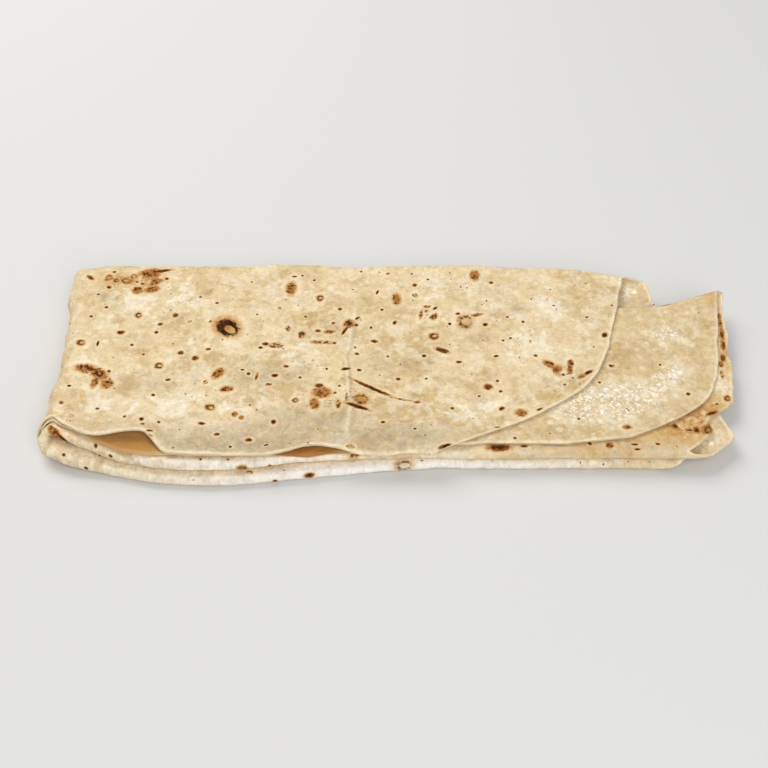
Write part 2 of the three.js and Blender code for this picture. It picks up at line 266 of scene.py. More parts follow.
@dataclass(frozen=True)
class FoldMap:
    """Where every point of the folded sheet lies, in millimetres."""

    thickness: float = 1.0
    gap: float = 0.5
    depth: float = 123.5
    left_axis: float = 4.0
    left_bow: float = 4.0
    bow_reach: float = 150.0
    bow_depth: float = 117.0
    middle: float = 155.0
    edge_rounds: int = 12
    rolls: dict = field(
        default_factory=lambda: {
            Half.UPPER: FrontRoll(1.4, 2.2, 1.3, 6.5, 55, 75, Bend(12, -46, 46), 5),
            Half.LOWER: FrontRoll(0.0, 2.4, 0.2, 9.5, 62, 110, Bend(7, -20, 20), 3),
        }
    )
    bulge_at: float = 68.0
    swell_reach: float = 60.0
    roll_reach: float = 18.0
    roll_waver: Waver = Waver(0.3, 61.0, 21)
    opening_waver: Waver = Waver(0.16, 47.0, 11)
    calm_end: tuple[float, float] = (10.0, 40.0)
    pinch_at: float = 9.0
    pinch_depth: float = 1.0
    cheek: tuple[float, float, float, float] = (1.6, 12.0, 12.0, 24.0)
    left_air: float = 1.2
    left_air_reach: float = 30.0
    fullness: float = 0.28
    right_edges: dict = field(
        default_factory=lambda: {
            (Half.UPPER, Part.OUTER_CAP): RightEdge(171, 2.13, 262.5, 0.25, 16, 0.35),
            (Half.UPPER, Part.INNER_CAP): RightEdge(236, 2.2, 309.5, 0.14, 16, 0.35),
            (Half.UPPER, Part.INNER_STRIP): RightEdge(277, 1.2, 312, 0.065, 6, 0.9),
            (Half.UPPER, Part.OUTER_STRIP): RightEdge(288.5, 1.2, 280.2, -0.27, 2, 0.5),
            (Half.LOWER, Part.OUTER_CAP): RightEdge(165, 2.1, 255, 0.22, 16, 0.4),
            (Half.LOWER, Part.INNER_CAP): RightEdge(226, 2.2, 291, 0.12, 16, 0.4),
            (Half.LOWER, Part.INNER_STRIP): RightEdge(268, 1.2, 297, 0.06, 8, 0.6),
            (Half.LOWER, Part.OUTER_STRIP): RightEdge(276, 1.2, 265, -0.25, 3, 0.5),
        }
    )
    ragged_wave: float = 23.0
    ragged_seed: int = 41
    back_depth: float = 100.0
    notch: tuple[float, float, float] = (8.0, 24.5, 6.5)
    lip: Pocket = Pocket(44, 27, 14, 10.6, 3.2, 8, 22)
    side_pocket: Pocket = Pocket(121, 22, 22, 3.2, 1.6, 1, 18)
    sag: tuple[float, float, float, float] = (1.5, 88, 30, 20)
    cap_corner: Bend = Bend(23.0, -48.0, 48.0)
    inner_cap_corner: Bend = Bend(17.5, -48.0, 48.0)
    inner_cap_rise: tuple[float, float] = (3.5, 55.0)
    inner_cap_slant: Bend = Bend(7.0, 110.0, 90.0)
    inner_cap_tip: Bend = Bend(6.2, 225.0, 43.0)
    lower_cap_fronts: tuple[tuple[float, float], ...] = ((11.0, 22.0), (12.5, 19.0))
    lower_cap_reach: float = 45.0
    edge_waver: Waver = Waver(0.45, 37.0, 31)
    edge_calm: float = 20.0
    outer_corners: tuple[Bend, Bend] = (Bend(3.0, -60.0, 60.0), Bend(7.0, 190.0, 75.0))
    outer_waver: Waver = Waver(0.75, 71.0, 5)
    inner_depth: float = 93.0
    inner_ends: tuple[Bend, Bend] = (Bend(7.0, -220.0, 220.0), Bend(9.0, 262.0, 47.0))
    side_waver: Waver = Waver(0.8, 33.0, 7)
    side_reach: float = 12.0
    inner_air: float = 0.8
    inner_reach: float = 22.0
    droop_slack: float = 1.2
    droop_limit: float = 0.3
    settle_reach: float = 20.0
    end_press: tuple[float, float] = (250.0, 55.0)
    tip_rise: Bend = Bend(3.0, 275.0, 34.0)
    tip_depth: tuple[float, float] = (55.0, 45.0)
    waves: tuple[tuple[float, ...], ...] = ((0.55, 62, 95, 0.4), (0.35, 37, 58, 2.1))
    still_layers: int = 2
    hills: tuple[Swell, ...] = (
        Swell(36, 27, 34, 22, 0.55),
        Swell(133, 46, 8, 46, 0.50),
        Swell(147, 58, 16, 34, -0.55),
        Swell(212, 40, 30, 26, 0.35),
        Swell(75, 80, 22, 20, 0.30),
        Swell(104, 98, 34, 16, -0.30),
        Swell(258, 60, 26, 30, 0.40),
    )
    corner_curl: tuple[Bend, Bend] = (Bend(1.6, 256.0, 14.0), Bend(1.0, 100.0, 12.0))
    end_curl: tuple[Bend, Bend] = (Bend(1.8, -6.0, 6.0), Bend(1.0, 103.0, 8.0))
    tip_curl: tuple[Bend, Bend] = (Bend(1.5, -4.5, 4.5), Bend(1.0, 14.0, 8.0))

    @property
    def pitch(self) -> float:
        """Height from one layer to the next."""
        return self.thickness + self.gap

    def roll_opening(self, half: Half, u: Array) -> Array:
        """Inner height of a front roll: its opening, its swell and the pinch at its corner.

        Args:
            half: Upper or lower half of the strip.
            u: Places along the packet.

        Returns:
            Heights.
        """
        roll = self.rolls[half]
        swell = roll.swell * hump(u, self.bulge_at, self.swell_reach, self.swell_reach)
        uneven = self.opening_waver.at(u, roll.layer) * ease(u, *self.calm_end)
        if half is Half.UPPER:
            end = -self.pinch_depth * hump(u, self.pinch_at, self.pinch_at, self.pinch_at)
        else:
            rise, at, left, right = self.cheek
            end = rise * hump(u, at, left, right)
        return roll.opening + swell + uneven + end

    def roll_radius(self, half: Half, u: Array) -> Array:
        """Radius of the middle surface of a front roll."""
        return (self.thickness + self.roll_opening(half, u)) / 2

    def roll_start(self, half: Half, u: Array) -> Array:
        """Depth at which a front roll starts to turn: its line, less its bulge, plus its radius.

        Args:
            half: Upper or lower half of the strip.
            u: Places along the packet.

        Returns:
            Depths.
        """
        roll = self.rolls[half]
        bulge = roll.bulge * hump(u, self.bulge_at, roll.left, roll.right)
        drawn = roll.corner.flicked(-u) + self.roll_waver.at(u, roll.layer)
        return roll.line - bulge + drawn + self.thickness / 2 + self.roll_radius(half, u)

    def outer_fold_start(self, u: Array) -> Array:
        """Depth at which the outer back fold turns, with its two corners drawn forward.

        Args:
            u: Places along the packet.

        Returns:
            Depths.
        """
        left, right = self.outer_corners
        drawn = left.flicked(-u) + right.flicked(u) - self.outer_waver.at(u)
        return self.depth - drawn - (self.thickness + 3 * self.pitch) / 2

    def inner_fold_start(self, u: Array) -> Array:
        """Depth at which the inner back fold turns, with both its ends drawn back.

        Args:
            u: Places along the packet.

        Returns:
            Depths.
        """
        left, right = self.inner_ends
        line = self.inner_depth + left.flicked(-u) + right.flicked(u)
        return line - (self.pitch + self.inner_air + self.thickness) / 2

    def front_line(self, half: Half, part: Part, u: Array) -> Array:
        """Depth of a panel's front line: a front roll for a strip, a free edge for a cap.

        Args:
            half: Upper or lower half of the strip.
            part: One of the four panels.
            u: Places along the packet.

        Returns:
            Depths.
        """
        if part in (Part.OUTER_STRIP, Part.INNER_STRIP):
            return self.roll_start(half, u)
        if half is Half.LOWER:
            left, right = self.lower_cap_fronts[LAYER[half, part]]
            return lerp(left, right, ease(u, self.left_axis, self.lower_cap_reach))
        waver = self.edge_waver.at(u, part.value) * ease(u, self.left_axis, self.edge_calm)
        if part is Part.INNER_CAP:
            rise, reach = self.inner_cap_rise
            left = self.inner_cap_corner.flicked(-u) + rise * hump(u, 0.0, reach, reach)
            return left + waver + self.inner_cap_slant.eased(u) + self.inner_cap_tip.flicked(u)
        drop, at, left, right = self.sag
        pulls = [p.pull * hump(u, p.at, p.left, p.right) for p in (self.lip, self.side_pocket)]
        return self.cap_corner.flicked(-u) + waver + sum(pulls) - drop * hump(u, at, left, right)

    def back_line(self, part: Part, u: Array) -> Array:
        """Depth of a panel's back line, where one of the two back folds starts."""
        outer = part in (Part.OUTER_CAP, Part.OUTER_STRIP)
        return self.outer_fold_start(u) if outer else self.inner_fold_start(u)

    def right_edge(self, half: Half, part: Part, v: Array) -> Array:
        """Length of a panel at a depth: the shorter of its edge's two stretches, rounded.

        The rounding takes off corner x log(1 + e^(-|difference| / corner)).

        Args:
            half: Upper or lower half of the strip.
            part: One of the four panels.
            v: Depths from its front line.

        Returns:
            Lengths from the left end.
        """
        edge = self.right_edges[half, part]
        front = edge.front + edge.spread * v
        back = edge.back + edge.lean * (v - self.back_depth)
        rounding = np.log1p(np.exp(-np.abs(front - back) / edge.corner))
        length = np.minimum(front, back) - edge.corner * rounding
        seed = self.ragged_seed + LAYER[half, part]
        length = length + edge.ragged * ripple(v, self.ragged_wave, seed)
        if (half, part) == (Half.UPPER, Part.INNER_STRIP):
            depth, at, width = self.notch
            length = length - depth * np.exp(-(((v - at) / width) ** 2))
        return length

    def roll_air(self, half: Half, u: Array, v: Array) -> Array:
        """Extra air that a front roll holds open behind it."""
        fade = 1.0 - ease(v, self.roll_start(half, u), self.roll_reach)
        return (self.roll_opening(half, u) - self.gap) * fade

    def inner_fold_air(self, u: Array, v: Array) -> Array:
        """Extra air at the inner back fold, a hump over the fold's line."""
        start = self.inner_fold_start(u)
        return self.inner_air * hump(v - start, 0.0, self.inner_reach, self.inner_reach)

    def pocket_air(self, u: Array, v: Array) -> Array:
        """Extra air under the outer cap's front edge: the raised lip and the side pocket.

        Args:
            u: Places along the packet.
            v: Depths from its front line.

        Returns:
            Heights.
        """
        lifts = [
            p.rise * hump(u, p.at, p.left, p.right) * (1.0 - ease(v, p.start, p.fade))
            for p in (self.lip, self.side_pocket)
        ]
        return sum(lifts)

    def settle(self, layer: int, u: Array, v: Array) -> Array:
        """How far a layer sinks in front of the lower caps, which no longer carry it there.

        Args:
            layer: 0 for the lowest to 7 for the top.
            u: Places along the packet.
            v: Depths from its front line.

        Returns:
            Heights that it loses.
        """
        drop = np.zeros_like(u)
        for part in PANELS[: min(layer, 2)]:
            start = self.front_line(Half.LOWER, part, u) - self.settle_reach
            drop = drop + self.pitch * (1.0 - ease(v, start, self.settle_reach))
        return drop

    def cap_droop(self, layer: int, u: Array, v: Array) -> Array:
        """How far a cap bends down over the upper front roll: the height lost on a round arc.

        Args:
            layer: 0 for the lowest to 7 for the top.
            u: Places along the packet.
            v: Depths from its front line.

        Returns:
            Heights that it loses.
        """
        above = layer - LAYER[Half.UPPER, Part.INNER_STRIP]
        radius = self.roll_radius(Half.UPPER, u) + above * self.pitch + self.droop_slack
        ahead = np.maximum(0.0, self.roll_start(Half.UPPER, u) - v)
        return radius - np.sqrt(np.maximum(radius**2 - ahead**2, self.droop_limit * radius**2))

    def wave(self, layer: int, u: Array, v: Array) -> Array:
        """The packet's soft waves and hills, from nothing on the lowest layers to full on top.

        A wave is rise x sin(pi u / length + phase) x cos(pi v / width + phase), a hill is rise x
        e^-(the squared distance from its middle, in units of its length and width).

        Args:
            layer: 0 for the lowest to 7 for the top.
            u: Places along the packet.
            v: Depths from its front line.

        Returns:
            Heights to add.
        """
        full = 0.0
        for rise, length, width, phase in self.waves:
            along = np.sin(math.pi * u / length + phase)
            full = full + rise * along * np.cos(math.pi * v / width + phase)
        for hill in self.hills:
            spread = ((u - hill.u) / hill.length) ** 2 + ((v - hill.v) / hill.width) ** 2
            full = full + hill.rise * np.exp(-spread)
        return full * max(0, layer - self.still_layers) / (TOP_LAYER - self.still_layers)

    def height(self, layer: int, u: Array, v: Array) -> Array:
        """Height of the middle surface of a layer: its place in the stack, plus the air below it.

        Args:
            layer: 0 for the lowest to 7 for the top.
            u: Places along the packet.
            v: Depths from its front line.

        Returns:
            Heights above the table.
        """
        outer_strip, inner_strip, inner_cap = (LAYER[Half.UPPER, part] for part in PANELS[:0:-1])
        settled = self.settle(layer, u, v)
        z = self.thickness / 2 + layer * self.pitch + self.wave(layer, u, v) - settled
        if layer > 0:
            z = z - (1.0 - settled / (2 * self.pitch)) * ease(u, *self.end_press)
        for above in range(2, layer + 1):
            z = z + self.air_below(above, u, v)
        if layer >= inner_cap:
            z = z - self.cap_droop(layer, u, v)
        if layer in (inner_strip, inner_cap):
            z = z + self.tip_rise.eased(u) * ease(v, *self.tip_depth)
        if layer == outer_strip:
            z = z + self.strip_curl(u, v)
        return z

    def air_below(self, layer: int, u: Array, v: Array) -> Array:
        """Extra air between a layer and the one below it, which the fold at its edge holds open.

        Args:
            layer: 0 for the lowest to 7 for the top.
            u: Places along the packet.
            v: Depths from its front line.

        Returns:
            Heights.
        """
        if layer in (LAYER[Half.LOWER, Part.INNER_STRIP], LAYER[Half.UPPER, Part.INNER_CAP]):
            return self.inner_fold_air(u, v)
        for half, roll in self.rolls.items():
            if layer == roll.layer:
                return self.roll_air(half, u, v)
        if layer == TOP_LAYER:
            return self.pocket_air(u, v)
        return self.left_air * (1.0 - ease(u, self.left_axis, self.left_air_reach))

    def strip_curl(self, u: Array, v: Array) -> Array:
        """Lift of the upper outer strip's free end: its back corner and its front tip curl up.

        Args:
            u: Places along the packet.
            v: Depths from its front line.

        Returns:
            Heights to add.
        """
        past = u - self.right_edge(Half.UPPER, Part.OUTER_STRIP, v)
        (corner, corner_v), (end, end_v), (tip, tip_v) = self.corner_curl, self.end_curl, self.tip_curl
        curls = corner.eased(u) * corner_v.eased(v) + end.flicked(past) * end_v.eased(v)
        return curls + tip.flicked(past) * (1.0 - tip_v.eased(v))

    def panel(
        self, half: Half, part: Part, depths: Array, lengths: Array
    ) -> Array:
        """A panel as a grid: shares of its depth from front to back, and of its length to the right.

        Where a row meets the right edge is found by going back and forth between the two.

        Args:
            half: Upper or lower half of the strip.
            part: One of the four panels.
            depths: Shares of the depth, one for each row.
            lengths: Shares of the length, one for each column.

        Returns:
            Points, as rows x columns x (u, v, z).
        """
        length = np.full_like(depths, self.middle)
        for _ in range(self.edge_rounds):
            depth = lerp(self.front_line(half, part, length), self.back_line(part, length), depths)
            length = self.right_edge(half, part, depth)
        u = self.left_axis + (length - self.left_axis)[:, None] * lengths[None, :]
        v = lerp(self.front_line(half, part, u), self.back_line(part, u), depths[:, None])
        return np.stack([u, v, self.height(LAYER[half, part], u, v)], axis=-1)


def round_fold(
    first: Array, last: Array, outward: tuple, turns: Array, fullness: float
) -> Array:
    """Fold between two lines: middle + arm x sin(angle) + outward x bulge x cos(angle).

    The bulge is half the lines' difference in height, or a share of the arm where they lie askew.

    Args:
        first: Points of the line where the fold starts.
        last: Points of the line where it ends.
        outward: Direction that the fold bulges in.
        turns: Steps from -1, on the first line, to 1, on the last.
        fullness: That share of the arm.

    Returns:
        Points, as steps x points x 3.
    """
    middle, arm = (first + last) / 2, (last - first) / 2
    angle = (turns * math.pi / 2)[:, None, None]
    bulge = np.maximum(np.abs(arm[..., 2:]), fullness * np.linalg.norm(arm, axis=-1, keepdims=True))
    return middle + arm * np.sin(angle) + bulge * np.asarray(outward, float) * np.cos(angle)


def unit(vectors: Array) -> Array:
    """Vectors scaled to length 1."""
    return vectors / np.maximum(np.linalg.norm(vectors, axis=-1, keepdims=True), TINY)


@dataclass
class FoldedSheet:
    """The middle surface as a grid, with the flat sheet's own coordinates at every point.

    panel_rows holds the rows of each of PANELS, and how strongly they crowd towards its front.
    After build(), points holds rows x columns x 3 in millimetres, flat the distances (s, t) on
    the flat sheet, from the left fold and from the outer back fold, and bands and halves say
    which rows and columns belong to which region.
    """

    fold: FoldMap
    panel_rows: tuple[tuple[int, float], ...] = ((66, 1.0), (44, 1.0), (34, 1.25), (28, 1.25))
    fold_rows: tuple[int, int, int] = (10, 12, 8)
    upper_columns: int = 141
    lower_columns: int = 77
    fold_columns: int = 15
    column_grading: float = 1.1
    left_reach: float = 8.0
    back_reach: float = 256.0

    def build(self) -> "FoldedSheet":
        """Works out the grid and the flat coordinates.

        Returns:
            The sheet itself.
        """
        upper, lower = (self.half_grid(half) for half in Half)
        turns = np.linspace(-1.0, 1.0, self.fold_columns + 2)[1:-1]
        left = round_fold(upper[:, 0], lower[:, 0], (-1, 0, 0), turns, self.fold.fullness)
        grid = np.concatenate([upper[:, ::-1], left.transpose(1, 0, 2), lower], axis=1)
        self.points = self.bowed(grid)
        counts = [self.upper_columns, self.fold_columns, self.lower_columns]
        self.halves = np.repeat([0, 1, 2], counts)
        self.along, self.across = self.directions()
        self.normals = unit(np.cross(self.along, self.across))
        self.flat = self.flat_coordinates()
        return self

    def half_grid(self, half: Half) -> Array:
        """One half of the strip: its four panels and three folds, row by row.

        Args:
            half: Upper or lower half of the strip.

        Returns:
            Points, as rows x columns x (u, v, z).
        """
        fold = self.fold
        columns = self.upper_columns if half is Half.UPPER else self.lower_columns
        lengths = np.linspace(0.0, 1.0, columns) ** self.column_grading
        turns = [np.linspace(-1.0, 1.0, count + 2)[1:-1] for count in self.fold_rows]
        cap, tuck, inner, outer = (
            fold.panel(half, part, np.linspace(0.0, 1.0, count) ** grading, lengths)
            for part, (count, grading) in zip(PANELS, self.panel_rows)
        )
        bands = [
            cap,
            round_fold(cap[-1], outer[-1], (0, 1, 0), turns[0], fold.fullness),
            outer[::-1],
            round_fold(outer[0], inner[0], (0, -1, 0), turns[1], fold.fullness),
            inner,
            round_fold(inner[-1], tuck[-1], (0, 1, 0), turns[2], fold.fullness),
            tuck[::-1],
        ]
        self.bands = np.repeat(np.arange(len(bands)), [len(band) for band in bands])
        return np.concatenate(bands, axis=0)

    def bowed(self, grid: Array) -> Array:
        """Draws the left end in between its corners, by a sine over the depth, and wavers it.

        Args:
            grid: Points, as rows x columns x (u, v, z).

        Returns:
            The bowed points.
        """
        fold = self.fold
        u, v = grid[..., 0], grid[..., 1]
        pull = fold.left_bow * np.sin(np.clip(v / fold.bow_depth, 0, 1) * math.pi)
        waver = fold.side_waver.at(v) * ease(-u, -fold.side_reach, fold.side_reach)
        fade = np.minimum(1.0, flick(-u, -fold.bow_reach, fold.bow_reach))
        bent = grid.copy()
        bent[..., 0] = u + pull * fade + waver
        return bent

    def directions(self) -> tuple[Array, Array]:
        """Unit steps along the rows and across them, by central differences."""
        return unit(np.gradient(self.points, axis=1)), unit(np.gradient(self.points, axis=0))

    def flat_coordinates(self) -> Array:
        """Distances on the flat sheet, true to scale on the level layers and the front rolls.

        Along the packet |s| = x + left_reach. Up a front roll |t| is the length of arc, and it
        goes on with y over the strips; on the caps |t| = back_reach - y. The left fold and the
        back folds share out the rest.

        Returns:
            (s, t) for every point, in millimetres.
        """
        x, y = self.points[..., 0], self.points[..., 1]
        s = np.where(self.halves == 0, -1.0, 1.0) * (x + self.left_reach)
        self.bridge(s, self.points, self.halves == 1)
        middle = int(np.mean(np.flatnonzero(self.bands == Part.FRONT.value)))
        steps = np.diff(self.points, axis=0)
        arc = np.cumsum(np.hypot(steps[..., 1], steps[..., 2]), axis=0)
        arc = np.concatenate([0.0 * arc[:1], arc]) - arc[[middle - 1]]
        outer = np.flatnonzero(self.bands == Part.OUTER_STRIP.value)[-1]
        inner = np.flatnonzero(self.bands == Part.INNER_STRIP.value)[0]
        bands = self.bands[:, None]
        t = np.where(bands < Part.FRONT.value, arc[outer] + y[outer] - y, arc[inner] - y[inner] + y)
        t = np.where(bands == Part.FRONT.value, arc, t)
        t = np.where(bands == Part.OUTER_CAP.value, y - self.back_reach, t)
        t = np.where(bands == Part.INNER_CAP.value, self.back_reach - y, t)
        for part in (Part.OUTER_BACK, Part.INNER_BACK):
            self.bridge(t.T, self.points.transpose(1, 0, 2), self.bands == part.value)
        return np.stack([s, t], axis=-1)

    @staticmethod
    def bridge(values: Array, points: Array, inside: Array) -> None:
        """Fills a run of columns from the columns beside it, in proportion to the arc length.

        Args:
            values: The values, rows x columns, changed in place.
            points: The points, rows x columns x 3.
            inside: Whether each column belongs to the run.
        """
        run = np.flatnonzero(inside)
        first, last = run[0] - 1, run[-1] + 1
        steps = np.linalg.norm(np.diff(points[:, first : last + 1], axis=1), axis=-1)
        arc = np.concatenate([np.zeros((len(steps), 1)), np.cumsum(steps, axis=1)], axis=1)
        shares = arc / arc[:, -1:]
        values[:, first : last + 1] = lerp(values[:, [first]], values[:, [last]], shares)

    def locate(self, face: Face, u: float, v: float) -> tuple[Array, Array]:
        """Finds a place of a face on the flat sheet.

        Args:
            face: The face that the place is on.
            u: Distance along the packet.
            v: Depth, or on a roll the distance up from its foremost line.

        Returns:
            The place (s, t), and the signs that turn flat steps into steps of u and v.
        """
        half, part, _ = face.value
        rows = np.flatnonzero(self.bands == part.value)
        columns = np.flatnonzero(self.halves == (0 if half is Half.UPPER else 2))
        signs = np.array([-1.0 if half is Half.UPPER else 1.0, 1.0])
        if part in (Part.OUTER_STRIP, Part.INNER_CAP):
            signs[1] = -1.0
        plan = self.points[np.ix_(rows, columns)][..., :2]
        flat = self.flat[np.ix_(rows, columns)]
        if part is Part.FRONT:
            signs[1] = 1.0 if half is Half.UPPER else -1.0
            middle = len(rows) // 2
            column = np.argmin(np.abs(plan[middle, :, 0] - u))
            offset = np.array([u - plan[middle, column, 0], v])
            return flat[middle, column] + offset * signs, signs
        offset = np.array([u, v]) - plan
        near = np.unravel_index(np.argmin(np.sum(offset**2, axis=-1)), offset.shape[:2])
        return flat[near] + offset[near] * signs, signs


# ---------------------------------------------------------------- marks of the griddle


class Char(Enum):
    """Kinds of griddle mark: a ring's hollow in half sizes, raggedness, paleness, toasted halo."""

    BURNT_RING = (0.52, 0.06, 0.00, 0.80)
    RING = (0.54, 0.20, 0.26, 0.95)
    TRACE = (0.74, 0.30, 0.50, 0.55)
    FADED_RING = (0.68, 0.45, 0.30, 0.70)
    SPOT = (0.00, 0.20, 0.03, 1.00)
    DOT = (0.00, 0.12, 0.00, 0.70)
    SCORCH = (0.00, 0.62, 0.10, 1.05)
    FLECKS = (0.00, 0.85, 0.15, 0.65)
    STREAK = (0.00, 0.12, 0.00, 0.95)
    BLUSH = (0.00, 0.80, 0.42, 1.00)


@dataclass(frozen=True)
class Mark:
    """A griddle mark: its face, place, length, width, turn in degrees, and kind."""

    face: Face
    u: float
    v: float
    length: float
    width: float
    turn: float
    kind: Char


class Tint(Enum):
    """Soft patches of the crust, in the order of their channels."""

    MOIST = 0
    # flour; on the inner side it also spreads the painted glints
    FLOUR = 1
    # grey painted shade: on the front band where the top droops forward, over the top, and in the
    # pockets under the outer cap's edge
    BRUISE = 2
    # toast, and the brown painted shade inside the pockets under the outer cap's edge
    TOAST = 3


@dataclass(frozen=True)
class Patch:
    """A soft patch of the crust: its face and tint, its place, length, width, turn and strength."""

    face: Face
    tint: Tint
    u: float
    v: float
    length: float
    width: float
    turn: float
    strength: float


@dataclass(frozen=True)
class Crease:
    """A pressed line in the crust: its face, middle, length, width and turn."""

    face: Face
    u: float
    v: float
    length: float
    width: float
    turn: float


BURNT_RING, RING, TRACE, FADED_RING, SPOT, DOT, SCORCH, FLECKS, STREAK, BLUSH = Char

